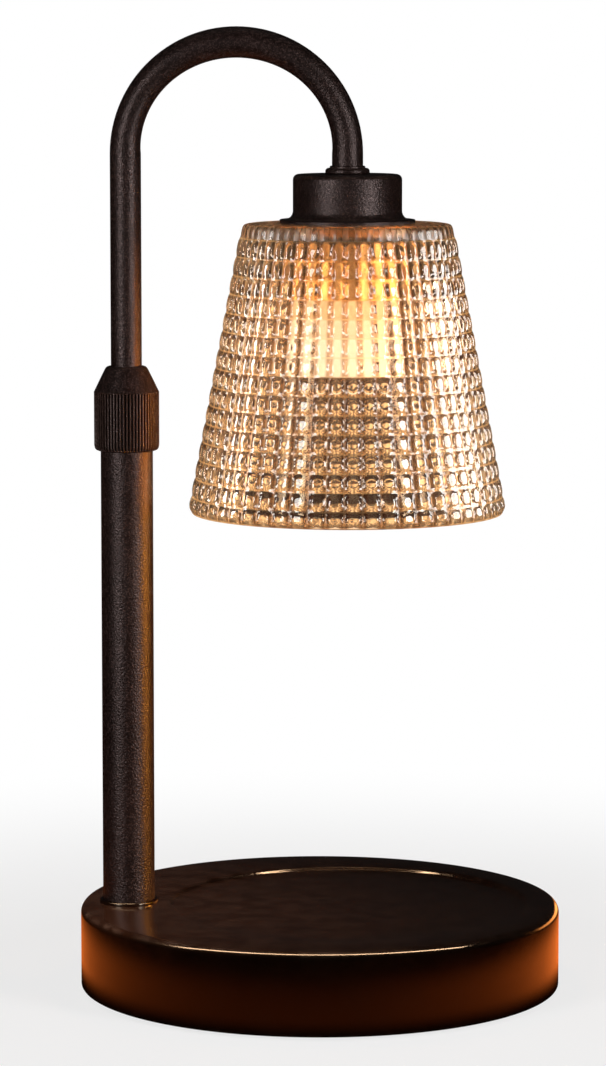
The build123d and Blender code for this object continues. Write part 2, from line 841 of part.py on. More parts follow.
def make_bulb_reflector():
    """The bulb's glass cup: a short flare and a straight rim."""
    rim = bulb_diameter / 2
    wall = bulb_glass_wall
    neck = bulb_base_diameter / 2 - wall / 2
    flare_low = bulb_neck - bulb_flare_height
    bulge = ((rim + neck) / 2 + wall, (bulb_neck + flare_low) / 2 + wall / 2)
    inner_bulge = (bulge[0] - 0.8 * wall, bulge[1] - 0.6 * wall)
    edges = [
        Line((rim, bulb_front), (rim, flare_low)),
        ThreePointArc((rim, flare_low), bulge, (neck, bulb_neck)),
        Line((neck, bulb_neck), (neck - wall, bulb_neck)),
        ThreePointArc((neck - wall, bulb_neck), inner_bulge, (rim - wall, flare_low)),
        Line((rim - wall, flare_low), (rim - wall, bulb_front)),
        Line((rim - wall, bulb_front), (rim, bulb_front)),
    ]
    return turned(lamp_x, 0, *edges)


def make_bulb_lens():
    """The round front glass."""
    low = bulb_front + bulb_lens_recess
    return rod(lamp_x, 0, bulb_diameter / 2 - bulb_glass_wall - fit, low, low + bulb_lens_thickness)


def make_bulb_capsule():
    """The small lamp capsule that stands on the bulb's base."""
    radius = capsule_diameter / 2
    capsule = rod(lamp_x, 0, radius, bulb_neck - capsule_length, bulb_neck)
    return fillet(capsule.edges().filter_by(GeomType.CIRCLE).sort_by(Axis.Z)[0], radius * 0.8)


PIECES = {
    "base_housing": make_base_housing,
    "bottom_cover": make_bottom_cover,
    "cover_screws": make_cover_screws,
    "rubber_feet": make_rubber_feet,
    "counterweight": make_counterweight,
    "cord_gland": make_cord_gland,
    "terminal_block": make_terminal_block,
    "base_lead": make_base_lead,
    "post_tube": make_post_tube,
    "foot_ring": make_foot_ring,
    "post_plug": make_post_plug,
    "post_stud": make_post_stud,
    "post_washer": make_post_washer,
    "post_nut": make_post_nut,
    "post_lead": make_post_lead,
    "clamp_collet": make_clamp_collet,
    "pressure_ring": make_pressure_ring,
    "lock_collar": make_lock_collar,
    "guide_bush": make_guide_bush,
    "guide_clips": make_guide_clips,
    "neck_tube": make_neck_tube,
    "neck_lead": make_neck_lead,
    "neck_ring": make_neck_ring,
    "neck_nipple": make_neck_nipple,
    "cap_nut": make_cap_nut,
    "holder_cap": make_holder_cap,
    "socket_plate": make_socket_plate,
    "socket_screws": make_socket_screws,
    "lamp_socket": make_lamp_socket,
    "socket_contacts": make_socket_contacts,
    "holder_sleeve": make_holder_sleeve,
    "shade_gaskets": make_shade_gaskets,
    "shade_ring": make_shade_ring,
    "glass_shade": make_glass_shade,
    "bulb_base": make_bulb_base,
    "bulb_pins": make_bulb_pins,
    "bulb_reflector": make_bulb_reflector,
    "bulb_lens": make_bulb_lens,
    "bulb_capsule": make_bulb_capsule,
}


def write_parts():
    """Writes one file per piece."""
    os.makedirs("parts", exist_ok=True)
    for name, make in PIECES.items():
        made = make()
        solids = made if isinstance(made, list) else [made]
        shape = solids[0] if len(solids) == 1 else Compound(children=solids)
        export_step(shape, f"parts/{name}.step")
        print(name, round(sum(s.volume for s in solids)), "mm3")


write_parts()
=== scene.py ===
# %% [markdown]
# # A candle warmer lamp, piece by piece
#
# The lamp stands on a round weighted base. A post carries a swan neck that slides and swings, a knurled
# collar locks the neck, and a pressed glass shade hangs over a shallow seat, with a small lit bulb in it.
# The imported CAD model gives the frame: every piece here is in metres and lies where the CAD piece lies.

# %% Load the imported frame
import json
import math

import bmesh
import bpy
from mathutils import Matrix, Vector


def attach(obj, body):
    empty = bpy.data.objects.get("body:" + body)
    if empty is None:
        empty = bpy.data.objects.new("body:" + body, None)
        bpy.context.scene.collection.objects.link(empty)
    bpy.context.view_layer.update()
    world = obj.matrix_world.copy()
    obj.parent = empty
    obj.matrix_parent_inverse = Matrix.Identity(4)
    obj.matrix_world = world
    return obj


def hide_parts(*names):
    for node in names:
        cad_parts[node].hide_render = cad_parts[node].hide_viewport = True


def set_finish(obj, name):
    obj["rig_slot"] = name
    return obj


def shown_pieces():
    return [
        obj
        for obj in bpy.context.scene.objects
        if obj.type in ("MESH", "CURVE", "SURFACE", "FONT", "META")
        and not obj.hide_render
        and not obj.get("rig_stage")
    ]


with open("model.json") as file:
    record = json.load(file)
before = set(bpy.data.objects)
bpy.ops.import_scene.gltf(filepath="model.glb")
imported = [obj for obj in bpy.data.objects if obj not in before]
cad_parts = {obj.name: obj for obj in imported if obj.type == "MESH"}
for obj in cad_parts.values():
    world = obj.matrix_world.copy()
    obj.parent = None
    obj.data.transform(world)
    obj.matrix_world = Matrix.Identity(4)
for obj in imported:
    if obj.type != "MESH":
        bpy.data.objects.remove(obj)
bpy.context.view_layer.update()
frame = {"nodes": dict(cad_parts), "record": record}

# %% [markdown]
# ## The camera
#
# The picture was taken from a little above the lamp, from 1.28 m away, with a long lens. The numbers come
# from fitting the round base's two ellipses and the upright edges of the tubes. A long lens keeps the
# uprights parallel, and the 6.8 degree tilt shows the top of the base.

# %% Camera
CAMERA_PLACE = (-0.00531, -1.28255, 0.29554)
CAMERA_TILT = math.radians(6.77)
FOCAL_PIXELS = 4151.57
PICTURE_PIXELS = 1066
SENSOR_HEIGHT = 24
bpy.ops.object.camera_add(location=CAMERA_PLACE, rotation=(math.pi / 2 - CAMERA_TILT, 0, 0))
camera = bpy.context.object
camera.name = "photo_camera"
camera.data.sensor_fit = "VERTICAL"
camera.data.sensor_height = SENSOR_HEIGHT
camera.data.lens = FOCAL_PIXELS / PICTURE_PIXELS * SENSOR_HEIGHT
camera.data.clip_start = 0.05
bpy.context.scene.camera = camera
bpy.context.scene.view_settings.view_transform = "Standard"
print("camera lens", round(camera.data.lens, 2), "mm")

# %% [markdown]
# ## Working by hand, in code
#
# Blender's edit tools act on what is selected. These helpers do what a hand does with the mouse: make one
# piece the active one, pick its faces, edges or corners by their place, and close the work at the end.
# Picking by place is robust, because it doesn't depend on how a tool numbers what it makes.

# %% Helpers for modelling
MM = 0.001


def alone(piece):
    """Leaves one piece selected and active, in object mode."""
    if bpy.context.mode != "OBJECT":
        bpy.ops.object.mode_set(mode="OBJECT")
    bpy.ops.object.select_all(action="DESELECT")
    piece.select_set(True)
    bpy.context.view_layer.objects.active = piece


def edit():
    """Opens the active piece's mesh."""
    bpy.ops.object.mode_set(mode="EDIT")


def pick(kind, test):
    """Selects the faces, edges or verts whose middle, in millimetres, passes the test."""
    mode = {"faces": "FACE", "edges": "EDGE", "verts": "VERT"}[kind]
    bpy.ops.mesh.select_all(action="DESELECT")
    bpy.ops.mesh.select_mode(type=mode)
    mesh = bmesh.from_edit_mesh(bpy.context.object.data)
    place = bpy.context.object.matrix_world
    count = 0
    for item in getattr(mesh, kind):
        corners = [item] if kind == "verts" else item.verts
        points = [place @ corner.co / MM for corner in corners]
        if test(points):
            item.select_set(True)
            count += 1
    mesh.select_flush_mode()
    bmesh.update_edit_mesh(bpy.context.object.data)
    return count


def at_level(z):
    """A test for what lies flat at a height in millimetres."""
    return lambda points: all(abs(p.z - z) < 0.02 for p in points)


def ring_at(z, radius, x=0.0, gap=0.1):
    """A test for what lies on a level circle about a vertical line at x."""
    return lambda points: all(
        abs(p.z - z) < gap and abs(math.hypot(p.x - x, p.y) - radius) < gap for p in points
    )


def lift(height):
    """Extrudes the selected faces or edges upwards, in millimetres."""
    bpy.ops.mesh.extrude_region_move(TRANSFORM_OT_translate={"value": (0, 0, height * MM)})


def widen(factor, x, z):
    """Scales the selection in plan about a vertical line."""
    bpy.ops.transform.resize(value=(factor, factor, 1), center_override=(x * MM, 0, z * MM))


def inset(width):
    """Insets the selected faces, in millimetres."""
    bpy.ops.mesh.inset(thickness=width * MM)


def round_ring(z, radius, x, width, steps):
    """Rounds the edges on a level circle about a vertical line at x."""
    pick("edges", ring_at(z, radius, x))
    bpy.ops.mesh.bevel(offset=width * MM, segments=steps, profile=0.5, affect="EDGES")


def cylinder(corners, radius, low, high, x=0.0):
    """Adds an upright cylinder between two heights, in millimetres, and opens its mesh."""
    bpy.ops.object.select_all(action="DESELECT")
    bpy.ops.mesh.primitive_cylinder_add(
        vertices=corners, radius=radius * MM, depth=(high - low) * MM, location=(x * MM, 0, (high + low) / 2 * MM)
    )
    made = bpy.context.object
    edit()
    return made


def close_piece(piece, name, body, slot_name, nodes, angle=40):
    """Puts a piece's place in its mesh, turns its faces outwards and ties it to the frame."""
    alone(piece)
    piece.name = name
    bpy.ops.object.transform_apply(location=True, rotation=True, scale=True)
    edit()
    bpy.ops.mesh.select_all(action="SELECT")
    bpy.ops.mesh.remove_doubles(threshold=0.002 * MM)
    bpy.ops.mesh.normals_make_consistent(inside=False)
    bpy.ops.object.mode_set(mode="OBJECT")
    bpy.ops.object.shade_smooth_by_angle(angle=math.radians(angle))
    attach(piece, body)
    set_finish(piece, slot_name)
    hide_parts(*nodes)
    mesh = piece.data
    mesh.calc_loop_triangles()
    low, high = piece.bound_box[0], piece.bound_box[6]
    print(name, len(mesh.loop_triangles), "triangles", [round(v / MM, 2) for v in (*low, *high)])
    return piece


# %% [markdown]
# ## The base
#
# A turned or drawn steel shell, 150 mm across, with a soft upper edge and a shallow seat that isn't in its
# middle: it is moved towards the lamp. It could be a lathe outline, but the seat would then need a cut. So a
# cylinder's top face is inset, the inset ring is moved sideways, and the faces between stay flat. The
# underside is hollowed in the same way, and the two holes are bored with Boolean modifiers.

# %% Base shell
BASE_RADIUS = 75.0
BASE_TOP = 26.7
BASE_BOTTOM = 1.0
BASE_WALL = 2.0
SEAT_X = 9.0
SEAT_RADIUS = 55.4
SEAT_LIP = SEAT_RADIUS + 0.84
SEAT_FLOOR = 25.3
SEAT_RING = 12.0
POST_X = -60.0
LAMP_X = 8.4
STUD_HOLE = 5.3
GLAND_HOLE = 5.55
GLAND_LEVEL = 13.6

base = cylinder(256, BASE_RADIUS, BASE_BOTTOM, BASE_TOP)
pick("faces", at_level(BASE_TOP))
inset(BASE_RADIUS - SEAT_LIP)
bpy.ops.transform.translate(value=(SEAT_X * MM, 0, 0))
lift(SEAT_FLOOR - BASE_TOP)
widen(SEAT_RADIUS / SEAT_LIP, SEAT_X, SEAT_FLOOR)
inset(SEAT_RING)
pick("faces", at_level(BASE_BOTTOM))
inset(BASE_WALL)
lift(BASE_TOP - BASE_WALL - BASE_BOTTOM)
inset(BASE_RADIUS - 2 * BASE_WALL - SEAT_RADIUS)
bpy.ops.transform.translate(value=(SEAT_X * MM, 0, 0))
lift(SEAT_FLOOR - BASE_TOP)
round_ring(BASE_TOP, BASE_RADIUS, 0, 2.5, 8)
round_ring(BASE_BOTTOM, BASE_RADIUS, 0, 0.8, 4)
round_ring(BASE_TOP, SEAT_LIP, SEAT_X, 0.75, 5)
round_ring(SEAT_FLOOR, SEAT_RADIUS, SEAT_X, 0.4, 3)
bpy.ops.object.mode_set(mode="OBJECT")


def bore(piece, radius, low, high, x=0.0, z=None):
    """Cuts a round hole: upright at x between two heights or, given a z, level along Y between two depths."""
    turn = (0, 0, 0) if z is None else (math.pi / 2, 0, 0)
    middle = (low + high) / 2
    place = (x * MM, 0, middle * MM) if z is None else (x * MM, middle * MM, z * MM)
    bpy.ops.object.select_all(action="DESELECT")
    bpy.ops.mesh.primitive_cylinder_add(
        vertices=64, radius=radius * MM, depth=(high - low) * MM, location=place, rotation=turn
    )
    drill = bpy.context.object
    alone(piece)
    cut = piece.modifiers.new("bore", "BOOLEAN")
    cut.operation = "DIFFERENCE"
    cut.object = drill
    bpy.ops.object.modifier_apply(modifier=cut.name)
    bpy.data.objects.remove(drill)


bore(base, STUD_HOLE, 22.0, 30.0, x=POST_X)
bore(base, GLAND_HOLE, 70.0, 80.0, z=GLAND_LEVEL)
close_piece(base, "base_shell", "stand", "base_coat", ["base_housing"])

# %% [markdown]
# ## The swan neck
#
# One steel tube, 9.6 mm across, bent over a round former into a half circle with a long and a short leg. On
# the real tube the bend is a little flattened, as bent tubes are. A circle is pulled up the long leg, spun
# round the bend's centre and pulled down the short leg. The rings of the bend are then squeezed towards its
# outer side, most at the top. A Solidify modifier gives the wall.

# %% Swan neck
NECK_RADIUS = 4.8
NECK_WALL = 0.95
NECK_FOOT = 98.0
NECK_END = 255.6
BEND_LEVEL = 260.8
BEND_X = (POST_X + LAMP_X) / 2
BEND_RADIUS = (LAMP_X - POST_X) / 2
BEND_STEPS = 60
BEND_SQUEEZE = 0.12
SQUEEZE_SHAPE = 0.7


def bend_angle(point):
    """How far round the bend a point lies: 0 at the long leg, half a turn at the short one."""
    return math.atan2(point.z - BEND_LEVEL, BEND_X - point.x)


bpy.ops.object.select_all(action="DESELECT")
bpy.ops.mesh.primitive_circle_add(
    vertices=48, radius=NECK_RADIUS * MM, location=(POST_X * MM, 0, NECK_FOOT * MM)
)
neck = bpy.context.object
edit()
bpy.ops.mesh.select_all(action="SELECT")
lift(BEND_LEVEL - NECK_FOOT)
bpy.ops.mesh.spin(
    steps=BEND_STEPS, angle=math.pi, center=(BEND_X * MM, 0, BEND_LEVEL * MM), axis=(0, -1, 0)
)
pick("verts", lambda points: points[0].x > 0 and abs(points[0].z - BEND_LEVEL) < 0.05)
lift(NECK_END - BEND_LEVEL)
for step in range(1, BEND_STEPS):
    turn = math.pi * step / BEND_STEPS
    pick("verts", lambda points: points[0].z > BEND_LEVEL and abs(bend_angle(points[0]) - turn) < 0.01)
    outward = Vector((-math.cos(turn), 0, math.sin(turn)))
    outer = Vector((BEND_X, 0, BEND_LEVEL)) + outward * (BEND_RADIUS + NECK_RADIUS)
    frame_of_ring = Matrix((outward, (0, 1, 0), outward.cross((0, 1, 0)))).transposed()
    squeeze = 1 - BEND_SQUEEZE * math.sin(turn) ** SQUEEZE_SHAPE
    bpy.ops.transform.resize(
        value=(squeeze, 1, 1), orient_matrix=frame_of_ring, orient_type="LOCAL", center_override=outer * MM
    )
bpy.ops.object.mode_set(mode="OBJECT")
alone(neck)
edit()
bpy.ops.mesh.select_all(action="SELECT")
bpy.ops.mesh.normals_make_consistent(inside=False)
bpy.ops.object.mode_set(mode="OBJECT")
wall = neck.modifiers.new("wall", "SOLIDIFY")
wall.thickness = NECK_WALL * MM
wall.offset = -1
bpy.ops.object.modifier_apply(modifier=wall.name)
close_piece(neck, "swan_neck", "neck", "powder_coat", ["neck_tube"])

# %% [markdown]
# ## The lock collar
#
# A turned sleeve with sixty rounded ribs and a cone that ends at the neck. The ribs could be sixty small
# bars, but the real ones are rolled into one piece of metal. So a cylinder with six corners per rib is cut
# at the levels of its outline, each level is scaled to its radius, and in the ribbed part the corners
# between two ribs are drawn in.

# %% Lock collar
RIBS = 60
RIBBED_LOW, RIBBED_HIGH = 169.6, 187.3
RIB_DEPTHS = {0: 0.62, 1: 0.34, 5: 0.34, 2: 0.05, 4: 0.05}
COLLAR_RADIUS = 10.1
COLLAR_LEVELS = (
    (169.2, 8.9), (169.45, 9.5), (169.9, 9.86), (170.6, 10.05), (171.2, 10.1), (187.1, 10.1), (187.45, 10.1),
    (187.65, 9.98), (191.0, 8.38), (194.3, 6.75), (194.85, 6.42), (195.2, 6.05), (195.4, 5.5),
)
COLLAR_FOOT, FOOT_MOUTH = COLLAR_LEVELS[0]
COLLAR_TOP, TOP_MOUTH = COLLAR_LEVELS[-1]
POST_BORE, POST_BORE_TOP = 8.15, 185.0
CONE_BORE, CONE_BORE_TOP = 6.1, 192.4
NECK_BORE = 4.85


def slice_at(z):
    """Cuts the whole piece with a level plane."""
    bpy.ops.mesh.select_all(action="SELECT")
    bpy.ops.mesh.bisect(plane_co=(0, 0, z * MM), plane_no=(0, 0, 1))


def bridge_holes(first, second, radius, x):
    """Takes out the round faces at two heights and joins their rims with a wall."""
    rims = ring_at(first, radius, x), ring_at(second, radius, x)
    pick("faces", lambda points: any(on_rim(points) for on_rim in rims))
    bpy.ops.mesh.delete(type="ONLY_FACE")
    pick("edges", lambda points: any(on_rim(points) for on_rim in rims))
    bpy.ops.mesh.bridge_edge_loops()


collar = cylinder(RIBS * 6, COLLAR_RADIUS, COLLAR_FOOT, COLLAR_TOP, POST_X)
for level, radius in COLLAR_LEVELS[1:-1]:
    slice_at(level)
for level, radius in COLLAR_LEVELS:
    pick("verts", at_level(level))
    widen(radius / COLLAR_RADIUS, POST_X, level)


def rib_corner(point):
    """Which of a rib's six corners a point is: 0 lies between two ribs."""
    share = math.atan2(point.y, point.x - POST_X) / (2 * math.pi) * RIBS * 6
    return round(share) % 6


for corner, depth in RIB_DEPTHS.items():
    pick("verts", lambda points: rib_corner(points[0]) == corner and RIBBED_LOW < points[0].z < RIBBED_HIGH)
    widen(1 - depth / COLLAR_RADIUS, POST_X, RIBBED_LOW)
pick("faces", at_level(COLLAR_FOOT))
inset(FOOT_MOUTH - POST_BORE)
lift(POST_BORE_TOP - COLLAR_FOOT)
inset(POST_BORE - CONE_BORE)
lift(CONE_BORE_TOP - POST_BORE_TOP)
inset(CONE_BORE - NECK_BORE)
pick("faces", at_level(COLLAR_TOP))
inset(TOP_MOUTH - NECK_BORE)
bridge_holes(CONE_BORE_TOP, COLLAR_TOP, NECK_BORE, POST_X)
close_piece(collar, "ribbed_collar", "collar", "powder_coat", ["lock_collar"], angle=35)

# %% [markdown]
# ## The cap over the socket
#
# A spun steel cup with a flared flange that rests on the glass. A short disc is the flange, its top face is
# inset and pulled up into the cup, bevels make the flare and the soft top edge, and the flange's rim is drawn
# down a little.

# %% Holder cap
CAP_FLANGE = 20.95
CAP_RADIUS = 16.85
CAP_FLOOR = 240.1
CAP_CEILING = CAP_FLOOR + 13.3
CAP_TOP = 254.6
CAP_BORE = 15.65
NIPPLE_HOLE = 4.0
FLANGE_TOP = CAP_FLOOR + 0.6
FLANGE_EDGE = 0.4
FLANGE_DROP = 0.45
cap = cylinder(192, CAP_FLANGE, CAP_FLOOR, FLANGE_TOP, LAMP_X)
pick("faces", at_level(FLANGE_TOP))
inset(CAP_FLANGE - CAP_RADIUS)
lift(CAP_TOP - FLANGE_TOP)
inset(CAP_RADIUS - NIPPLE_HOLE)
pick("faces", at_level(CAP_FLOOR))
inset(FLANGE_EDGE)
inset(CAP_FLANGE - FLANGE_EDGE - CAP_BORE)
lift(CAP_CEILING - CAP_FLOOR)
inset(CAP_BORE - NIPPLE_HOLE)
bridge_holes(CAP_TOP, CAP_CEILING, NIPPLE_HOLE, LAMP_X)
round_ring(FLANGE_TOP, CAP_RADIUS, LAMP_X, 2.6, 8)
round_ring(CAP_TOP, CAP_RADIUS, LAMP_X, 1.7, 7)
round_ring(FLANGE_TOP, CAP_FLANGE, LAMP_X, 0.3, 4)
pick("verts", ring_at(CAP_FLOOR, CAP_FLANGE, LAMP_X))
bpy.ops.transform.translate(value=(0, 0, -FLANGE_DROP * MM))
close_piece(cap, "flared_cap", "neck", "powder_coat", ["holder_cap"])

# %% [markdown]
# ## The ring under the neck
#
# Where the neck ends on the cap, a small turned bead hides the hole: a rounded disc with a thin lip that
# grips the tube. A short cylinder is inset and pulled up for the lip, and both outer edges are rounded.

# %% Neck ring
BEAD_RADIUS = 6.85
LIP_RADIUS = 5.5
BEAD_TOP = 256.5
LIP_TOP = 257.15
ring = cylinder(96, BEAD_RADIUS, CAP_TOP, BEAD_TOP, LAMP_X)
pick("faces", at_level(BEAD_TOP))
inset(BEAD_RADIUS - LIP_RADIUS)
lift(LIP_TOP - BEAD_TOP)
inset(LIP_RADIUS - NECK_BORE)
pick("faces", at_level(CAP_TOP))
inset(BEAD_RADIUS - NECK_BORE)
bridge_holes(LIP_TOP, CAP_TOP, NECK_BORE, LAMP_X)
round_ring(BEAD_TOP, BEAD_RADIUS, LAMP_X, 1.0, 6)
round_ring(LIP_TOP, LIP_RADIUS, LAMP_X, 0.3, 3)
round_ring(CAP_TOP, BEAD_RADIUS, LAMP_X, 0.5, 4)
close_piece(ring, "rounded_neck_ring", "neck", "powder_coat", ["neck_ring"])

# %% [markdown]
# ## The ring at the foot of the post
#
# A thin ring hides the gap where the post stands on the base. It is smooth and shiny, like the base, and its
# rounded rim carries a fine line of light. A lathe outline would do as well; here a flat cylinder gets its
# hole by insetting both faces and bridging them, and a bevel gives the rim.

# %% Foot ring
POST_RADIUS = 8.1
FOOT_RADIUS = 9.2
FOOT_HOLE = POST_RADIUS + 0.05
FOOT_TOP = 27.9
foot = cylinder(128, FOOT_RADIUS, BASE_TOP, FOOT_TOP, POST_X)
for level in (FOOT_TOP, BASE_TOP):
    pick("faces", at_level(level))
    inset(FOOT_RADIUS - FOOT_HOLE)
bridge_holes(FOOT_TOP, BASE_TOP, FOOT_HOLE, POST_X)
round_ring(FOOT_TOP, FOOT_RADIUS, POST_X, 0.6, 6)
close_piece(foot, "satin_foot_ring", "stand", "base_coat", ["foot_ring"])

# %% [markdown]
# ## The pressed glass shade
#
# The real shade is a cone of thick glass, pressed in a mould with 54 columns of small raised cushions in
# rows 5.7 mm high. Bump can't make it: the cushions are lenses, and they must bend what is seen through
# them, so that each shows its own image of the bulb. So a 54-sided cone is cut at each row, each face is
# inset and raised on its own with steep sides, the edges of the cells are creased, and a Subdivision
# Surface rounds every face into a cushion between narrow grooves. The inner wall stays smooth.

# %% Sizes of the shade
COLUMNS = 54
FIRST_GROOVE = -85.0
ROW_HEIGHT = 5.72
TOP_LINE = 235.1
ROW_LINES = [TOP_LINE - ROW_HEIGHT * row for row in range(15)]
SHADE_TOP = 239.6
SHADE_BOTTOM = 149.8
SHADE_TOP_RADIUS = 32.6
SHADE_MOUTH_RADIUS = 49.45
SHADE_SLOPE = (SHADE_MOUTH_RADIUS - SHADE_TOP_RADIUS) / (SHADE_TOP - SHADE_BOTTOM)
CUSHION_HEIGHT = 0.75
TOP_CUSHION_HEIGHT = CUSHION_HEIGHT * 0.35
CUSHION_SIDE = 0.62
GRID_SINK = CUSHION_HEIGHT * 0.8
EDGE_DRAW_IN = 0.6
TOP_BAND = SHADE_TOP - 0.7
RIM_BAND = SHADE_BOTTOM + 0.9
GLASS_WALL = 3.2
GLASS_ROOF = 3.6
ROOF_HOLE = 15.9
GROOVE_CREASE, ROW_CREASE, ROOF_CREASE, MOUTH_CREASE = 1.0, 0.25, 0.85, 0.4


def shade_radius(z):
    """The radius of the shade's outer side at a height."""
    return SHADE_TOP_RADIUS + (SHADE_TOP - z) * SHADE_SLOPE


# %% Outer side of the shade
bpy.ops.object.select_all(action="DESELECT")
bpy.ops.mesh.primitive_cone_add(
    vertices=COLUMNS,
    radius1=(shade_radius(SHADE_BOTTOM) - GRID_SINK) * MM,
    radius2=(shade_radius(SHADE_TOP) - GRID_SINK) * MM,
    depth=(SHADE_TOP - SHADE_BOTTOM) * MM,
    location=(LAMP_X * MM, 0, (SHADE_TOP + SHADE_BOTTOM) / 2 * MM),
    rotation=(0, 0, math.radians(FIRST_GROOVE + 90)),
)
shade = bpy.context.object
edit()
for level in [TOP_BAND, *ROW_LINES, RIM_BAND]:
    slice_at(level)
for level in (SHADE_TOP, SHADE_BOTTOM):
    pick("verts", at_level(level))
    widen(1 - EDGE_DRAW_IN / shade_radius(level), LAMP_X, level)


def within(low, high):
    """A test for what lies between two heights, or on them."""
    return lambda points: all(low - 0.1 < p.z < high + 0.1 for p in points)


def rise(points):
    """The difference in height between an edge's two ends."""
    return abs(points[0].z - points[1].z)


in_grid = within(RIM_BAND, TOP_BAND)
print("grooves down the sides", pick("edges", lambda points: in_grid(points) and rise(points) > 1))
bpy.ops.transform.edge_crease(value=GROOVE_CREASE)
print("grooves between rows", pick("edges", lambda points: in_grid(points) and rise(points) < 0.1))
bpy.ops.transform.edge_crease(value=ROW_CREASE)
for height, low, high in ((CUSHION_HEIGHT, RIM_BAND, TOP_LINE), (TOP_CUSHION_HEIGHT, TOP_LINE, TOP_BAND)):
    print("cushions", pick("faces", within(low, high)))
    bpy.ops.mesh.inset(thickness=CUSHION_SIDE * MM, depth=height * MM, use_individual=True)

# %% [markdown]
# The grooves down the sides are deep, but between two rows of one column the glass only dips a little. So each
# column reads as one wavy rib, not as a pile of separate cells. Shallower insets would flatten all sides of a
# cushion. So each line between two rows is split at the middle of its columns, and only those points are raised.

# %% Shallow waists between the rows
WAIST_RISE = 0.7


def on_row_line(point):
    """Whether a point lies on one of the lines between two rows."""
    return any(abs(point.z - level) < 0.03 for level in ROW_LINES)


def mid_column(point):
    """Whether a point lies halfway between two grooves."""
    share = (math.degrees(math.atan2(point.y, point.x - LAMP_X)) - FIRST_GROOVE) / (360 / COLUMNS)
    return abs(share % 1 - 0.5) < 0.1


print("waists", pick("edges", lambda points: all(on_row_line(p) for p in points)))
bpy.ops.mesh.subdivide(number_cuts=1)
for level in ROW_LINES:
    pick("verts", lambda points: abs(points[0].z - level) < 0.03 and mid_column(points[0]))
    widen(1 + WAIST_RISE / shade_radius(level), LAMP_X, level)

# %% Roof, hole and inner wall of the shade
pick("faces", at_level(SHADE_TOP))
inset(shade_radius(SHADE_TOP) - GRID_SINK - EDGE_DRAW_IN - ROOF_HOLE)
lift(-GLASS_ROOF)
ceiling = SHADE_TOP - GLASS_ROOF
inner_top = shade_radius(ceiling) - GLASS_WALL
lift(0)
widen(inner_top / ROOF_HOLE, LAMP_X, ceiling)
lift(SHADE_BOTTOM - ceiling)
inner_bottom = shade_radius(SHADE_BOTTOM) - GLASS_WALL
widen(inner_bottom / inner_top, LAMP_X, SHADE_BOTTOM)
pick("faces", at_level(SHADE_BOTTOM))
bpy.ops.mesh.delete(type="ONLY_FACE")
pick("edges", at_level(SHADE_BOTTOM))
bpy.ops.mesh.bridge_edge_loops()
for level, radius in ((SHADE_TOP, ROOF_HOLE), (ceiling, ROOF_HOLE), (ceiling, inner_top)):
    print("creased", pick("edges", ring_at(level, radius, LAMP_X, 0.15)))
    bpy.ops.transform.edge_crease(value=ROOF_CREASE)
pick("edges", at_level(SHADE_BOTTOM))
bpy.ops.transform.edge_crease(value=MOUTH_CREASE)

# %% Round the cushions
bpy.ops.object.mode_set(mode="OBJECT")
smooth = shade.modifiers.new("cushions", "SUBSURF")
smooth.levels = 2
smooth.render_levels = 2
alone(shade)
bpy.ops.object.modifier_apply(modifier=smooth.name)
close_piece(shade, "pressed_shade", "neck", "clear_glass", ["glass_shade"], angle=60)

# %% [markdown]
# ## Plain surroundings
#
# The floor and the air round the lamp are white, as in a catalogue picture. That white comes from what the
# camera sees, by Light Path, and not from more light on the lamp. The floor keeps its real pale colour under
# that, so it still carries the lamp's shadow. The air could be a backdrop, but then it would hide the lamp in
# views from behind.
#
# A dark coat shows mostly what it mirrors. So mirror rays see dark air, which keeps the coat nearly black,
# and round the base they see a warm glow painted on the floor, which paints warm light on the base's sides.
# Glass bends light from all round: it sees cream air in broad stripes, and these give each cushion its light and dark
# parts.

# %% Helpers for materials
def node(tree, kind, inputs=None, **settings):
    """Adds a shader node, sets its settings, and sets or links its inputs."""
    made = tree.nodes.new(kind)
    for key, value in settings.items():
        setattr(made, key, value)
    for key, value in (inputs or {}).items():
        if isinstance(value, bpy.types.NodeSocket):
            tree.links.new(value, made.inputs[key])
        else:
            made.inputs[key].default_value = value
    return made


def empty_material(name):
    """A material with its output alone."""
    made = bpy.data.materials.new(name)
    made.use_nodes = True
    made.node_tree.nodes.clear()
    return made, made.node_tree, node(made.node_tree, "ShaderNodeOutputMaterial")


def math_node(tree, operation, first, second=None, third=None):
    """A Math node; gives back its value."""
    inputs = {0: first}
    if second is not None:
        inputs[1] = second
    if third is not None:
        inputs[2] = third
    return node(tree, "ShaderNodeMath", inputs, operation=operation).outputs[0]


def times(tree, first, second):
    """The product of two values."""
    return math_node(tree, "MULTIPLY", first, second)


def ramp(tree, value, low, high, to_low=0.0, to_high=1.0):
    """A smooth step from one range of values to another."""
    return node(
        tree,
        "ShaderNodeMapRange",
        {"Value": value, "From Min": low, "From Max": high, "To Min": to_low, "To Max": to_high},
        interpolation_type="SMOOTHSTEP",
    ).outputs[0]


def choose(tree, ray, other, seen):
    """One strength for rays of a kind, another for all other rays."""
    return node(tree, "ShaderNodeMix", {"Factor": ray, "A": other, "B": seen}, data_type="FLOAT").outputs[0]


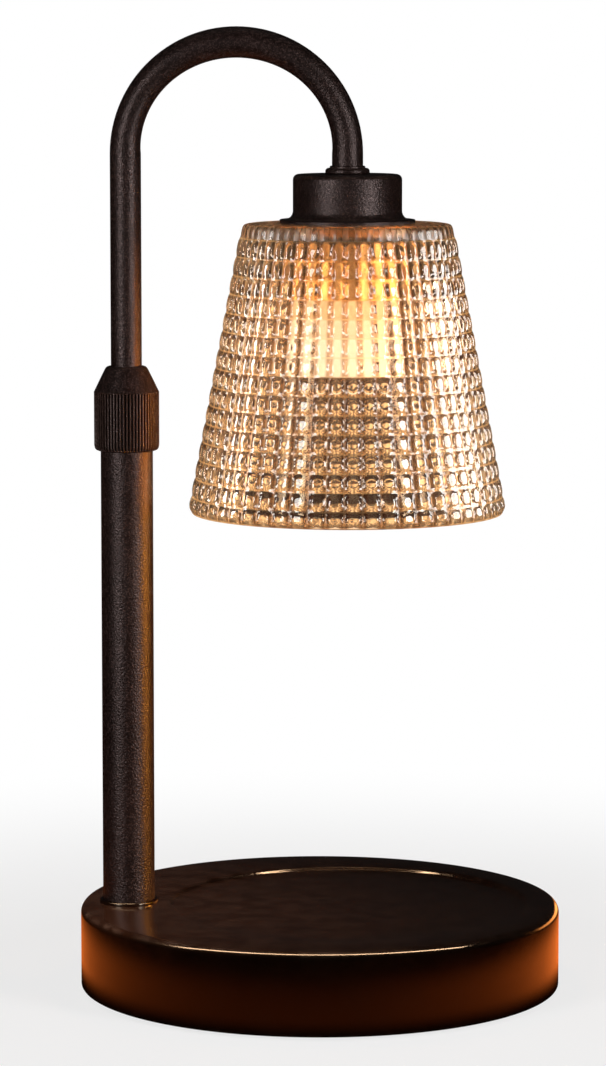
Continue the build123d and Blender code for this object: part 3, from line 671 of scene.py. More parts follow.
# %% Floor
SHADOW_SHARE = 0.26
bpy.ops.object.select_all(action="DESELECT")
bpy.ops.mesh.primitive_plane_add(size=8, location=(0, 0, 0))
floor = bpy.context.object
floor.name = "studio_floor"
floor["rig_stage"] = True
floor_white, tree, out = empty_material("studio_floor")
path = node(tree, "ShaderNodeLightPath")
place = node(tree, "ShaderNodeTexCoord").outputs["Object"]
reach = node(tree, "ShaderNodeVectorMath", {0: place}, operation="LENGTH").outputs["Value"]
far = ramp(tree, reach, 0.12, 0.4, 1 - SHADOW_SHARE, 1.0)
whitened = times(tree, path.outputs["Is Camera Ray"], far)
paper = node(tree, "ShaderNodeBsdfDiffuse", {"Color": (0.86, 0.86, 0.86, 1)})
white = node(tree, "ShaderNodeEmission", {"Color": (1, 1, 1, 1), "Strength": 1.0})
both = node(tree, "ShaderNodeMixShader", {0: whitened, 1: paper.outputs[0], 2: white.outputs[0]})

# A warm glow painted on the floor, seen only by mirror rays, paints warm light on the base's sides.
across = node(tree, "ShaderNodeSeparateXYZ", {"Vector": place})
painted_glow_parts = {
    "clear of the base's foot": ramp(tree, reach, 0.077, 0.092),
    "fading outwards": ramp(tree, reach, 0.11, 0.19, 1.0, 0.02),
    "weaker in front": ramp(tree, across.outputs["Y"], -0.13, 0.02, 0.45, 1.0),
    "stronger on the right": ramp(tree, across.outputs["X"], 0.0, 0.12, 1.0, 2.2),
    "stronger on the left": ramp(tree, across.outputs["X"], -0.12, -0.03, 1.3, 1.0),
}
painted_glow_strength = 0.9
for part in painted_glow_parts.values():
    painted_glow_strength = times(tree, painted_glow_strength, part)
painted_floor_glow = node(tree, "ShaderNodeEmission", {"Color": (1.0, 0.2, 0.03, 1), "Strength": painted_glow_strength})
both = node(
    tree, "ShaderNodeMixShader", {0: path.outputs["Is Glossy Ray"], 1: both.outputs[0], 2: painted_floor_glow.outputs[0]}
)
tree.links.new(both.outputs[0], out.inputs["Surface"])
floor.data.materials.append(floor_white)
print("the floor's warm light is", ", ".join(painted_glow_parts))

# %% Air
STRIPES = 8.0
world = bpy.data.worlds.new("studio_air")
bpy.context.scene.world = world
world.use_nodes = True
tree = world.node_tree
tree.nodes.clear()
out = node(tree, "ShaderNodeOutputWorld")
path = node(tree, "ShaderNodeLightPath")
around = node(tree, "ShaderNodeSeparateXYZ", {"Vector": node(tree, "ShaderNodeTexCoord").outputs["Generated"]})
turn = math_node(tree, "ARCTAN2", around.outputs["X"], around.outputs["Y"])
stripes = math_node(tree, "COSINE", times(tree, turn, STRIPES))
stripes = ramp(tree, stripes, -0.2, 0.3, 0.03, 1.5)
low_air = ramp(tree, around.outputs["Z"], 0.12, 0.45, 1.0, 0.06)
strength = choose(tree, path.outputs["Is Glossy Ray"], 0.1, 0.012)
strength = choose(tree, path.outputs["Is Transmission Ray"], strength, times(tree, low_air, stripes))
strength = choose(tree, path.outputs["Is Camera Ray"], strength, 1.0)
cream = node(tree, "ShaderNodeMix", {"Factor": path.outputs["Is Transmission Ray"]}, data_type="RGBA")
cream.inputs["A"].default_value = (1, 1, 1, 1)
cream.inputs["B"].default_value = (1.0, 0.88, 0.73, 1)
air = node(tree, "ShaderNodeBackground", {"Color": cream.outputs["Result"], "Strength": strength})
tree.links.new(air.outputs[0], out.inputs["Surface"])
print("air with", int(STRIPES), "light stripes for glass")

# %% [markdown]
# ## Studio lamps
#
# Two tall soft lamps stand in front, left and right, and give the tubes their two long highlights. A weak one
# hangs overhead. One lamp for everything would do on a matt object. Here the glass, the shiny base and the
# grainy tubes each need their own, so most lamps are linked to the pieces that they are for. The base has a
# thin strip for the bright line on its rim, a warm lamp low behind it on the right, and a narrow glow on the
# left of its top. The glass has two panels at its sides, for its glints.

# %% Helpers for lamps
def soft_lamp(name, place, aim, size, power, color=(1, 1, 1)):
    """A soft rectangular lamp at a place, aimed at a point; no camera sees it."""
    bpy.ops.object.light_add(type="AREA", location=place)
    lamp = bpy.context.object
    lamp.name = name
    lamp.rotation_euler = (Vector(aim) - Vector(place)).to_track_quat("-Z", "Y").to_euler()
    lamp.data.shape = "RECTANGLE"
    lamp.data.size, lamp.data.size_y = size
    lamp.data.energy = power
    lamp.data.color = color
    lamp.visible_camera = False
    return lamp


def shines_on(lamp, *pieces):
    """Limits a lamp to some pieces; gives back their collection."""
    lit_pieces = bpy.data.collections.new(lamp.name + "_pieces")
    for piece in pieces:
        lit_pieces.objects.link(piece)
    lamp.light_linking.receiver_collection = lit_pieces
    print(lamp.name, lamp.data.energy, "W on", len(pieces), "pieces")
    return lit_pieces


# %% Lamps in front and overhead
everything = [piece for piece in bpy.data.objects if piece.type == "MESH"]
all_but_base = [piece for piece in everything if piece is not base]
front_left = soft_lamp("front_left", (-0.75, -0.85, 0.33), (0, 0, 0.15), (0.3, 0.6), 7.8)
front_right = soft_lamp("front_right", (0.85, -0.75, 0.33), (0, 0, 0.15), (0.25, 0.6), 9.6)
shines_on(front_left, *all_but_base)
shines_on(front_right, *all_but_base)
soft_lamp("overhead", (0, 0.1, 1.3), (0, 0, 0), (0.9, 0.9), 0.3)

# %% Lamps for the base
edge_strip = soft_lamp("edge_strip", (0, -0.2, 0.9), (0, -0.07, 0), (2.4, 0.12), 55, (1.0, 0.78, 0.56))
edge_strip.visible_diffuse = False
shines_on(edge_strip, base, foot)
warm_right = soft_lamp("warm_right", (0.32, 0.38, 0.02), (0, 0, 0.03), (0.36, 0.14), 0.8, (1.0, 0.34, 0.08))
shines_on(warm_right, base)
top_glow = soft_lamp("top_glow", (-0.14, 0.05, 0.2), (-0.085, -0.015, 0.026), (0.16, 0.16), 0.36, (1.0, 0.9, 0.78))
top_glow.data.spread = math.radians(50)
top_glow.visible_glossy = False
top_glow.light_linking.blocker_collection = shines_on(top_glow, base)

# %% Panels for the glass
PANEL_DISTANCE = 0.9
PANEL_TURN = math.radians(84)
PANEL_HEIGHT = 0.8
for side, turn, width, power in (("right", PANEL_TURN, 0.6, 20), ("left", -PANEL_TURN, 0.2, 9)):
    place = (PANEL_DISTANCE * math.sin(turn), PANEL_DISTANCE * math.cos(turn), 0.15)
    shines_on(soft_lamp("glass_panel_" + side, place, (0, 0, 0.2), (width, PANEL_HEIGHT), power), shade)

# %% [markdown]
# ## Warm light on the post
#
# The post's right side is orange. The lamp for it shines through the shade, which would dim it: with multiple
# importance sampling off, the light is only found by shadow rays, and the glass lets those through. A flag, as
# photographers call a black card, keeps that light off the short end of the neck. Nothing but shadows shows it.

# %% Warm lamp and its flag
warm_side = soft_lamp("warm_side", (0.46, -0.02, 0.08), (-0.05, 0, 0.08), (0.3, 0.32), 5.6, (1.0, 0.4, 0.045))
warm_side.data.cycles.use_multiple_importance_sampling = False
shines_on(warm_side, *[piece for piece in everything if piece not in (floor, shade, base, cap, ring)])
bpy.ops.object.select_all(action="DESELECT")
bpy.ops.mesh.primitive_plane_add(size=0.12, location=(0.1, -0.01, 0.265), rotation=(0, math.pi / 2, 0))
flag = bpy.context.object
flag.name = "studio_flag"
bpy.ops.object.transform_apply(location=True, rotation=True, scale=True)
flag.data.materials.append(floor_white)
flag.visible_camera = flag.visible_diffuse = flag.visible_glossy = flag.visible_transmission = False
flag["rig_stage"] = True

# %% [markdown]
# ## The lamp in the bulb
#
# The bulb's glass glows by itself, but a glow that small lights its surroundings with much noise. A point lamp
# in the bulb does that better. Its radius is 12 mm, so its shadows are soft.

# %% Bulb lamp
bpy.ops.object.light_add(type="POINT", location=(LAMP_X * MM, 0, 0.206))
bulb_lamp = bpy.context.object
bulb_lamp.name = "bulb_light"
bulb_lamp.data.energy = 0.09
bulb_lamp.data.color = (1.0, 0.34, 0.08)
bulb_lamp.data.shadow_soft_size = 0.012
bulb_lamp.visible_camera = False

# %% [markdown]
# ## Effects that several finishes share
#
# Paint, metal and plastic all have some grain, all get touched, and all get rubbed at their edges. Image
# textures could show that, but they would need a map for each piece. Each such effect is built once instead,
# as a shader node group. It takes a place and a few sizes and gives back masks and heights, and every finish
# then uses them with its own numbers. All sizes are in metres, because the pieces keep their real place in
# Object coordinates.

# %% Helpers for shader groups
def new_group(name, inputs, outputs):
    """A shader node group with named sockets; gives back its tree, its inputs and its output node."""
    group = bpy.data.node_groups.new(name, "ShaderNodeTree")
    for socket, kind, start in inputs:
        made = group.interface.new_socket(socket, in_out="INPUT", socket_type=kind)
        if start is not None:
            made.default_value = start
    for socket in outputs:
        group.interface.new_socket(socket, in_out="OUTPUT", socket_type="NodeSocketFloat")
    return group, group.nodes.new("NodeGroupInput").outputs, group.nodes.new("NodeGroupOutput")


def noise(tree, place, scale, detail, distortion=0.0):
    """A cloudy pattern's value."""
    inputs = {"Vector": place, "Scale": scale, "Detail": detail, "Distortion": distortion}
    return node(tree, "ShaderNodeTexNoise", inputs).outputs["Fac"]


def bumps(tree, height, strength, distance):
    """The direction of a surface with bumps, whose full height is a distance in millimetres."""
    inputs = {"Height": height, "Strength": strength, "Distance": distance * MM}
    return node(tree, "ShaderNodeBump", inputs).outputs[0]


def blend_colors(tree, share, first, second):
    """A mix of two colours by a value."""
    mixed = node(tree, "ShaderNodeMix", {"Factor": share}, data_type="RGBA")
    for key, color in (("A", first), ("B", second)):
        if isinstance(color, bpy.types.NodeSocket):
            tree.links.new(color, mixed.inputs[key])
        else:
            mixed.inputs[key].default_value = (*color, 1)
    return mixed.outputs["Result"]


# %% Grain: the small bumps, slow patches and bright flecks of a coat
grain_group, given, gives = new_group(
    "coat_grain",
    [("Vector", "NodeSocketVector", None), ("Size", "NodeSocketFloat", 0.0005)],
    ["Height", "Patch", "Fleck"],
)
per_size = math_node(grain_group, "DIVIDE", 1.0, given["Size"])
fine = noise(grain_group, given["Vector"], per_size, 2.0)
broad = noise(grain_group, given["Vector"], times(grain_group, per_size, 0.4), 1.0)
patch = noise(grain_group, given["Vector"], 70.0, 3.0)
cells = node(
    grain_group,
    "ShaderNodeTexVoronoi",
    {"Vector": given["Vector"], "Scale": times(grain_group, per_size, 1.6)},
)
luck = node(grain_group, "ShaderNodeSeparateColor", {0: cells.outputs["Color"]})
lucky = ramp(grain_group, luck.outputs[0], 0.25, 1.0)
fleck = times(grain_group, lucky, ramp(grain_group, cells.outputs["Distance"], 0.65, 0.15))
height = math_node(grain_group, "MULTIPLY_ADD", broad, 0.12, fine)
grain_group.links.new(height, gives.inputs["Height"])
grain_group.links.new(ramp(grain_group, patch, 0.3, 0.7), gives.inputs["Patch"])
grain_group.links.new(fleck, gives.inputs["Fleck"])

# %% Handling: finger smudges, and dust on what faces up
touch_group, given, gives = new_group(
    "handling", [("Vector", "NodeSocketVector", None), ("Size", "NodeSocketFloat", 0.02)], ["Smudge", "Dust"]
)
smear = noise(touch_group, given["Vector"], math_node(touch_group, "DIVIDE", 1.0, given["Size"]), 4.0, 1.2)
specks = noise(touch_group, given["Vector"], 1400.0, 4.0)
facing = node(touch_group, "ShaderNodeNewGeometry")
upward = node(touch_group, "ShaderNodeSeparateXYZ", {"Vector": facing.outputs["Normal"]})
settled = times(touch_group, ramp(touch_group, upward.outputs["Z"], 0.4, 1.0), ramp(touch_group, specks, 0.5, 0.72))
touch_group.links.new(ramp(touch_group, smear, 0.42, 0.72), gives.inputs["Smudge"])
touch_group.links.new(settled, gives.inputs["Dust"])

# %% Rubbing: a level edge that hands and cloths have polished
rub_group, given, gives = new_group(
    "rubbed_edge",
    [("Vector", "NodeSocketVector", None), ("Level", "NodeSocketFloat", 0.0), ("Width", "NodeSocketFloat", 0.001)],
    ["Mask"],
)
place = node(rub_group, "ShaderNodeSeparateXYZ", {"Vector": given["Vector"]})
away = math_node(rub_group, "ABSOLUTE", math_node(rub_group, "SUBTRACT", place.outputs["Z"], given["Level"]))
near = node(
    rub_group,
    "ShaderNodeMapRange",
    {"Value": away, "From Min": 0.0, "From Max": given["Width"], "To Min": 1.0, "To Max": 0.0},
)
uneven = noise(rub_group, given["Vector"], 160.0, 5.0)
rubbed = times(rub_group, near.outputs[0], ramp(rub_group, uneven, 0.35, 0.65))
rub_group.links.new(rubbed, gives.inputs["Mask"])

# %% Turning: the fine rings that a lathe tool leaves
turn_group, given, gives = new_group(
    "turning_marks", [("Vector", "NodeSocketVector", None), ("Pitch", "NodeSocketFloat", 0.0003)], ["Height"]
)
rings = node(
    turn_group,
    "ShaderNodeTexWave",
    {
        "Vector": given["Vector"],
        "Scale": math_node(turn_group, "DIVIDE", 0.314, given["Pitch"]),
        "Distortion": 1.5,
        "Detail": 2.0,
    },
    bands_direction="Z",
)
turn_group.links.new(rings.outputs["Fac"], gives.inputs["Height"])
print("groups", [group.name for group in bpy.data.node_groups])

# %% [markdown]
# ## Coats of paint
#
# The tubes, collar and cap have a textured powder coat: nearly black brown, covered with small bumps whose
# tips glint. The base and the foot ring have a smooth satin coat, redder and shinier. Both reflect little, and a
# warm tint of that reflection gives the brown. A darker colour alone would lose the highlights as well. Bumps
# come from the grain group, flecks are the bumps' polished tips, whose lighter colour paints their glints,
# rubbed edges are smoother and a little lighter, and dust lies on what faces up. On the collar, the rib tops are
# rubbed smoother and lighter, which paints their highlights, and a near-black colour between them paints the
# shade in the grooves.

# %% Helpers for finishes
def start_finish(name):
    """A material with its place, for patterns in metres."""
    made, tree, out = empty_material(name)
    return made, tree, out, node(tree, "ShaderNodeTexCoord").outputs["Object"]


def set_surface(tree, out, inputs, shadow_color=None):
    """Gives a material its surface; with a shadow colour, light for shadows passes straight through it."""
    surface = node(tree, "ShaderNodeBsdfPrincipled", inputs)
    if shadow_color:
        through = node(tree, "ShaderNodeBsdfTransparent", {"Color": (*shadow_color, 1)})
        ray = node(tree, "ShaderNodeLightPath").outputs["Is Shadow Ray"]
        surface = node(tree, "ShaderNodeMixShader", {0: ray, 1: surface.outputs[0], 2: through.outputs[0]})
    tree.links.new(surface.outputs[0], out.inputs["Surface"])


def about_axis(tree, place, x):
    """A place as seen from an upright line at x: its parts, and its angle round that line."""
    centred = node(tree, "ShaderNodeVectorMath", {0: place, 1: (x * MM, 0, 0)}, operation="SUBTRACT")
    parts = node(tree, "ShaderNodeSeparateXYZ", {"Vector": centred.outputs[0]}).outputs
    return parts, math_node(tree, "ARCTAN2", parts["Y"], parts["X"])


def use_group(tree, group, place, **values):
    """Places a shared effect with its own values; gives back its outputs."""
    used = node(tree, "ShaderNodeGroup", node_tree=group)
    tree.links.new(place, used.inputs["Vector"])
    for key, value in values.items():
        used.inputs[key].default_value = value
    return used.outputs


DUST_COLOR = (0.45, 0.4, 0.36)
WORN_AND_CREST_HIGHLIGHT_COLOR = (0.045, 0.026, 0.019)
RIB_VALLEY_PAINTED_SHADE = (0.001, 0.0006, 0.0005)


def painted(name, deep, light, fleck_and_glint_color, roughness, grain_size, grain_height, shine, tint, edges, dusty, ribs=0):
    """A coat of paint with grain, flecks whose lighter colour paints glints, smudges, dust and rubbed edges; on ribs,
    painted shade between them and lighter tops that paint highlights.
    """
    made, tree, out, place = start_finish(name)
    grain = use_group(tree, grain_group, place, Size=grain_size)
    touch = use_group(tree, touch_group, place, Size=0.022)
    color = blend_colors(tree, grain["Patch"], deep, light)
    # Flecks get a lighter colour, which paints the glints of the bumps' polished tips.
    color = blend_colors(tree, times(tree, grain["Fleck"], 0.75), color, fleck_and_glint_color)
    wear_and_crest_highlight = 0.0
    for level, width in edges:
        mask = use_group(tree, rub_group, place, Level=level * MM, Width=width * MM)["Mask"]
        wear_and_crest_highlight = math_node(tree, "MAXIMUM", mask, wear_and_crest_highlight)
    if ribs:
        parts, round_post = about_axis(tree, place, POST_X)
        valley = math_node(tree, "COSINE", times(tree, round_post, ribs))
        above_foot = ramp(tree, parts["Z"], (RIBBED_LOW - 0.2) * MM, (RIBBED_LOW + 0.2) * MM)
        under_cone = ramp(tree, parts["Z"], (RIBBED_HIGH + 0.2) * MM, (RIBBED_HIGH - 0.2) * MM)
        ribbed = times(tree, above_foot, under_cone)
        # Rib tops are rubbed smoother and lighter; the lighter colour paints their highlights.
        wear_and_crest_highlight = math_node(tree, "MAXIMUM", wear_and_crest_highlight, times(tree, ribbed, ramp(tree, valley, 0.0, -0.8)))
        # A near-black colour between the ribs paints the shade in the grooves.
        valley_shade = times(tree, ribbed, ramp(tree, valley, -0.1, 0.6))
        color = blend_colors(tree, times(tree, valley_shade, 0.9), color, RIB_VALLEY_PAINTED_SHADE)
    color = blend_colors(tree, times(tree, wear_and_crest_highlight, 0.5), color, WORN_AND_CREST_HIGHLIGHT_COLOR)
    color = blend_colors(tree, times(tree, touch["Dust"], dusty), color, DUST_COLOR)
    rough = math_node(tree, "MULTIPLY_ADD", touch["Smudge"], 0.07, roughness - 0.035)
    rough = math_node(tree, "MULTIPLY_ADD", grain["Fleck"], -0.16, rough)
    rough = math_node(tree, "MULTIPLY_ADD", wear_and_crest_highlight, -0.1, rough)
    rough = math_node(tree, "MULTIPLY_ADD", touch["Dust"], 4 * dusty, rough)
    bump = bumps(tree, grain["Height"], 0.9, grain_height)
    set_surface(
        tree,
        out,
        {
            "Base Color": color,
            "Roughness": rough,
            "Specular IOR Level": shine,
            "Specular Tint": (*tint, 1),
            "Normal": bump,
        },
    )
    return made


# %% Powder coat and satin coat
finishes = {}
POWDER = dict(
    deep=(0.0035, 0.0016, 0.0012),
    light=(0.006, 0.0028, 0.0021),
    fleck_and_glint_color=(0.085, 0.053, 0.047),
    roughness=0.38,
    grain_size=0.0006,
    grain_height=0.2,
    shine=0.27,
    tint=(1.0, 0.77, 0.74),
    edges=((195.2, 0.5), (187.5, 0.35), (254.0, 0.7), (241.0, 0.4), (256.4, 0.5)),
    dusty=0.03,
)
finishes["powder_coat"] = painted("powder_coat", **POWDER)
finishes["ribbed_powder_coat"] = painted("ribbed_powder_coat", **POWDER, ribs=RIBS)
finishes["base_coat"] = painted(
    "base_coat",
    deep=(0.006, 0.0018, 0.0008),
    light=(0.009, 0.0028, 0.0012),
    fleck_and_glint_color=(0.006, 0.0025, 0.0015),
    roughness=0.21,
    grain_size=0.0014,
    grain_height=0.005,
    shine=0.4,
    tint=(1.0, 0.8, 0.62),
    edges=((26.0, 0.9), (1.4, 0.6)),
    dusty=0.004,
)

# %% [markdown]
# ## Bare metals
#
# Brass for the threaded sleeve and the ring that hold the glass, zinc-plated steel for nuts and screws,
# bright brass contacts, and a sand-cast iron weight. Turned parts keep fine rings from the tool, plated
# ones are cloudy, and the casting is rough.

# %% Metals
def metal(name, dark, light, roughness, pitch, marks, grain_size=0.0008, grain_height=0.01, tarnish=None):
    """A metal with turning marks, cloudy patches, smudges and some tarnish."""
    made, tree, out, place = start_finish(name)
    grain = use_group(tree, grain_group, place, Size=grain_size)
    touch = use_group(tree, touch_group, place, Size=0.012)
    rings = use_group(tree, turn_group, place, Pitch=pitch * MM)["Height"]
    color = blend_colors(tree, grain["Patch"], dark, light)
    color = blend_colors(tree, times(tree, touch["Smudge"], 0.3), color, tarnish or dark)
    rough = math_node(tree, "MULTIPLY_ADD", touch["Smudge"], 0.14, roughness - 0.05)
    rough = math_node(tree, "MULTIPLY_ADD", rings, 0.05, rough)
    height = math_node(tree, "MULTIPLY_ADD", rings, marks, times(tree, grain["Height"], grain_height))
    bump = bumps(tree, height, 0.8, 1.0)
    set_surface(tree, out, {"Base Color": color, "Roughness": rough, "Metallic": 1.0, "Normal": bump})
    return made


finishes["ring_brass"] = metal(
    "ring_brass", (0.56, 0.34, 0.14), (0.8, 0.52, 0.25), 0.3, 0.3, 0.006, tarnish=(0.3, 0.16, 0.07)
)
finishes["contact_brass"] = metal(
    "contact_brass", (0.72, 0.5, 0.22), (0.88, 0.66, 0.34), 0.2, 0.25, 0.003, tarnish=(0.45, 0.28, 0.12)
)
finishes["steel"] = metal("steel", (0.42, 0.43, 0.44), (0.62, 0.63, 0.64), 0.32, 0.28, 0.005, tarnish=(0.34, 0.33, 0.3))
finishes["cast_iron"] = metal(
    "cast_iron", (0.07, 0.065, 0.06), (0.16, 0.15, 0.145), 0.62, 1.5, 0.0, 0.0012, 0.22, tarnish=(0.1, 0.05, 0.025)
)

# %% [markdown]
# ## Rubber, plastic and ceramic
#
# None of these shines much. Rubber is matt with a bloom, silicone is smoky, natural nylon is milky, the
# lead's jacket is smooth with a faint wave, and the ceramic has a glaze over a slightly uneven body.

# %% Soft and moulded parts
BLOOM_COLOR = (0.5, 0.47, 0.43)


def moulded(name, dark, light, roughness, grain_size, grain_height, shine=0.5, gloss=0.0):
    """A moulded or fired material with grain, bloom, smudges and dust."""
    made, tree, out, place = start_finish(name)
    grain = use_group(tree, grain_group, place, Size=grain_size)
    touch = use_group(tree, touch_group, place, Size=0.015)
    color = blend_colors(tree, grain["Patch"], dark, light)
    color = blend_colors(tree, times(tree, touch["Dust"], 0.12), color, BLOOM_COLOR)
    color = blend_colors(tree, times(tree, touch["Smudge"], 0.18), color, [c * 0.7 for c in dark])
    rough = math_node(tree, "MULTIPLY_ADD", touch["Smudge"], 0.12, roughness - 0.05)
    bump = bumps(tree, grain["Height"], 0.8, grain_height)
    set_surface(
        tree,
        out,
        {
            "Base Color": color,
            "Roughness": rough,
            "Specular IOR Level": shine,
            "Coat Weight": gloss,
            "Normal": bump,
        },
    )
    return made


finishes["rubber"] = moulded("rubber", (0.014, 0.013, 0.012), (0.026, 0.024, 0.023), 0.72, 0.0004, 0.05, 0.35)
finishes["silicone"] = moulded("silicone", (0.05, 0.034, 0.026), (0.08, 0.055, 0.042), 0.45, 0.0006, 0.02, 0.4)
finishes["nylon"] = moulded("nylon", (0.62, 0.59, 0.51), (0.74, 0.72, 0.65), 0.42, 0.0005, 0.02)
finishes["pvc"] = moulded("pvc", (0.02, 0.018, 0.018), (0.036, 0.033, 0.032), 0.42, 0.0015, 0.04)
finishes["ceramic"] = moulded("ceramic", (0.7, 0.67, 0.61), (0.82, 0.8, 0.75), 0.34, 0.0009, 0.02, 0.5, 0.6)

# %% [markdown]
# ## The pressed glass
#
# The glass is given a peach colour, which paints in the warm light that the lit bulb throws through clear
# glass. Its cushions are real geometry, so they bend what is behind them by themselves. The grooves between
# them are narrower than the mesh can show, and there the press leaves the glass a little hazy, while a deeper
# colour paints shade: masks drawn from the angle round the lamp and from the height give both. The masks use
# the same column and row sizes as the mesh, so that they always fall together. The painted shade reaches
# further from a groove where two rows meet, and so makes dark bands with wavy sides. The widths below are
# shares of a column or a row. The skin, where the pattern lies, is given in millimetres from the outer cone.

# %% Where a point lies in the pattern of the glass
GROOVE_CORE, GROOVE_REACH, GROOVE_WAVE = 0.12, 0.4, 0.24
SIDE_LINE_EDGE, SIDE_LINE_CORE = 0.075, 0.03
ROW_LINE_EDGE, ROW_LINE_CORE = 0.06, 0.025
SKIN_START, SKIN_FULL = -2.4, -1.6
ROWS_BELOW = 60  # keeps the count of rows above zero

glass, tree, out, place = start_finish("clear_glass")
parts, turn = about_axis(tree, place, LAMP_X)
column = math_node(
    tree, "MULTIPLY_ADD", turn, COLUMNS / (2 * math.pi), -FIRST_GROOVE * COLUMNS / 360 + COLUMNS
)
row = math_node(tree, "MULTIPLY_ADD", parts["Z"], 1 / (ROW_HEIGHT * MM), ROWS_BELOW - TOP_LINE / ROW_HEIGHT)


def to_line(count):
    """How far a count is from a whole number: 0 on it, 0.5 halfway."""
    middle = math_node(tree, "SUBTRACT", math_node(tree, "FRACT", count), 0.5)
    return math_node(tree, "SUBTRACT", 0.5, math_node(tree, "ABSOLUTE", middle))


flat = node(tree, "ShaderNodeCombineXYZ", {"X": parts["X"], "Y": parts["Y"]})
from_axis = node(tree, "ShaderNodeVectorMath", {0: flat.outputs[0]}, operation="LENGTH").outputs["Value"]
cone = math_node(tree, "MULTIPLY_ADD", parts["Z"], -SHADE_SLOPE, shade_radius(0) * MM)
outer_side = ramp(tree, math_node(tree, "SUBTRACT", from_axis, cone), SKIN_START * MM, SKIN_FULL * MM)
side_reach = math_node(tree, "MULTIPLY_ADD", to_line(row), -GROOVE_WAVE, GROOVE_REACH)
# The groove mask makes the grooves hazy and paints shade in them.
groove_haze_and_painted_shade = ramp(tree, to_line(column), GROOVE_CORE, side_reach, 1.0, 0.0)
groove_haze_and_painted_shade = times(tree, groove_haze_and_painted_shade, outer_side)
top_band = ramp(tree, parts["Z"], TOP_LINE * MM, (TOP_LINE + 0.5) * MM)
side_line = times(tree, ramp(tree, to_line(column), SIDE_LINE_EDGE, SIDE_LINE_CORE), outer_side)
side_line = times(tree, side_line, math_node(tree, "MULTIPLY_ADD", top_band, -0.85, 1.0))
row_line = times(tree, ramp(tree, to_line(row), ROW_LINE_EDGE, ROW_LINE_CORE), outer_side)
rim_line = ramp(tree, parts["Z"], (SHADE_BOTTOM + 0.9) * MM, (SHADE_BOTTOM + 0.3) * MM)
lines = math_node(tree, "MAXIMUM", side_line, rim_line)
lines = math_node(tree, "MAXIMUM", times(tree, row_line, 0.6), lines)
print("pattern of", COLUMNS, "columns and", len(ROW_LINES), "row lines")

# %% [markdown]
# Glass carries light along its wall and lets it out where the surface breaks, so the pressed lines of a lit
# shade glow. Tracing that would take thousands of bounces. The lines get a faint glow of their own instead,
# most where the wall is seen at a slant, as Layer Weight tells with the cone's own direction. For shadows,
# light passes straight through, because a shadow ray that had to be bent would never find a lamp.

# %% Glass
# The peach tint paints the warm light of the lit bulb; the groove colour paints shade.
CUSHION_WARM_LIGHT_TINT = (0.98, 0.79, 0.56)
GROOVE_PAINTED_SHADE = (0.31, 0.16, 0.078)
ROW_PAINTED_GLOW = (0.84, 0.53, 0.26)
TOP_PAINTED_SHADE = (0.72, 0.43, 0.23)
GLOW_COLOR = (0.9, 0.5, 0.19)
CONE_LEAN = 0.008

smears = use_group(tree, touch_group, place, Size=0.03)
# Peach paints warm light; the deeper groove colour paints dark bands of shade.
tint = blend_colors(tree, groove_haze_and_painted_shade, CUSHION_WARM_LIGHT_TINT, GROOVE_PAINTED_SHADE)
# Amber on the lines between rows paints their glow.
tint = blend_colors(tree, times(tree, row_line, 0.6), tint, ROW_PAINTED_GLOW)
# A browner top band paints the shade seen through the glass there.
tint = blend_colors(tree, top_band, tint, TOP_PAINTED_SHADE)
leaning = node(tree, "ShaderNodeCombineXYZ", {"X": parts["X"], "Y": parts["Y"], "Z": CONE_LEAN})
leaning = node(tree, "ShaderNodeVectorMath", {0: leaning.outputs[0]}, operation="NORMALIZE")
leaning = node(
    tree,
    "ShaderNodeVectorTransform",
    {"Vector": leaning.outputs[0]},
    vector_type="NORMAL",
    convert_from="OBJECT",
    convert_to="WORLD",
)
grazing = node(tree, "ShaderNodeLayerWeight", {"Blend": 0.5, "Normal": leaning.outputs[0]}).outputs["Facing"]
caught = times(tree, lines, ramp(tree, grazing, 0.08, 0.42, 0.12, 1.15))
caught = blend_colors(tree, caught, (0.0, 0.0, 0.0), GLOW_COLOR)
haze = math_node(tree, "MULTIPLY_ADD", lines, 0.12, math_node(tree, "MULTIPLY_ADD", smears["Smudge"], 0.02, 0.015))
haze = math_node(tree, "MULTIPLY_ADD", top_band, 0.22, haze)
haze = math_node(tree, "MULTIPLY_ADD", groove_haze_and_painted_shade, 0.1, haze)
ripple = bumps(tree, noise(tree, place, 260.0, 1.0), 0.5, 0.04)
set_surface(
    tree,
    out,
    {
        "Base Color": tint,
        "Roughness": haze,
        "IOR": 1.5,
        "Transmission Weight": 0.98,
        "Emission Color": caught,
        "Emission Strength": 0.4,
        "Normal": ripple,
    },
    shadow_color=(1.0, 0.93, 0.86),
)
finishes["clear_glass"] = glass

# %% [markdown]
# ## The lit bulb
#
# The bulb is on. Its frosted cup is brightest near the front and turns amber towards its neck, where less
# light reaches it. Glass round a real lamp would show that too, but with much noise, so the glow is in the
# glass itself, with faint facets as in a pressed reflector.

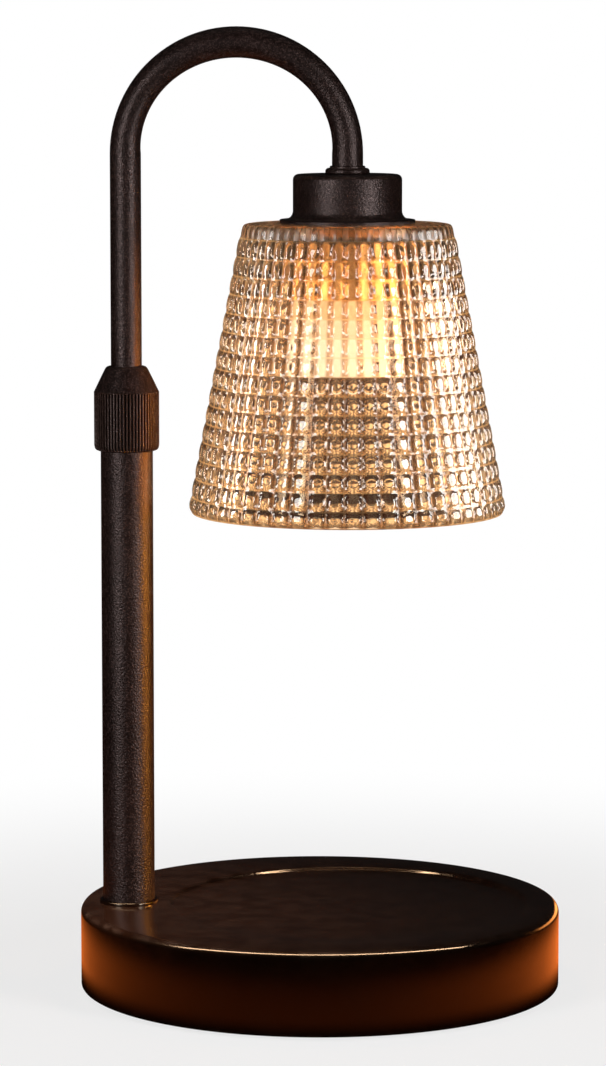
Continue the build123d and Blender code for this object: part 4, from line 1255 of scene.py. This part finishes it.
# %% Lit bulb glass
FACETS = 24
FACET_HEIGHT = 4.0
GLOW_WHITE_UP_TO, GLOW_AMBER_FROM = 200.0, 216.5
FRONT_GLOW = (1.0, 1.0, 1.0)
NECK_GLOW = (0.54, 0.25, 0.058)
FACET_GLOW = (0.95, 0.74, 0.5)

lit, tree, out, place = start_finish("lit_bulb_glass")
parts, turn = about_axis(tree, place, LAMP_X)
grain = use_group(tree, grain_group, place, Size=0.0012)
level = ramp(tree, parts["Z"], GLOW_WHITE_UP_TO * MM, GLOW_AMBER_FROM * MM)
warmth = blend_colors(tree, level, FRONT_GLOW, NECK_GLOW)
facets = math_node(tree, "COSINE", times(tree, turn, FACETS))
rows = math_node(tree, "COSINE", times(tree, parts["Z"], 2 * math.pi / (FACET_HEIGHT * MM)))
pattern = math_node(tree, "MULTIPLY_ADD", times(tree, facets, rows), 0.5, 0.5)
warmth = blend_colors(tree, times(tree, pattern, 0.35), warmth, FACET_GLOW)
frost = math_node(tree, "MULTIPLY_ADD", grain["Height"], 0.12, 0.3)
bump = bumps(tree, pattern, 0.6, 0.2)
set_surface(
    tree,
    out,
    {
        "Base Color": blend_colors(tree, grain["Patch"], (0.36, 0.31, 0.23), (0.42, 0.37, 0.28)),
        "Roughness": frost,
        "Emission Color": warmth,
        "Emission Strength": 0.82,
        "Normal": bump,
    },
    shadow_color=(1.0, 1.0, 1.0),
)
finishes["bulb_glass"] = lit

# %% [markdown]
# ## A finish for every piece
#
# The record names a material slot for each CAD part, and each new piece was given one when it was closed.
# The finish with that slot's name goes on it. Only the collar has a finish of its own, for its ribs.

# %% Give every piece its finish
for row_of_record in frame["record"]["subparts"]:
    piece = frame["nodes"][row_of_record["node"]]
    piece.data.materials.clear()
    piece.data.materials.append(finishes[row_of_record["material_slot"]])
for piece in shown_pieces():
    if "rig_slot" in piece:
        piece.data.materials.clear()
        piece.data.materials.append(finishes["ribbed_powder_coat" if piece is collar else piece["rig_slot"]])
print("finishes", sorted(finishes))
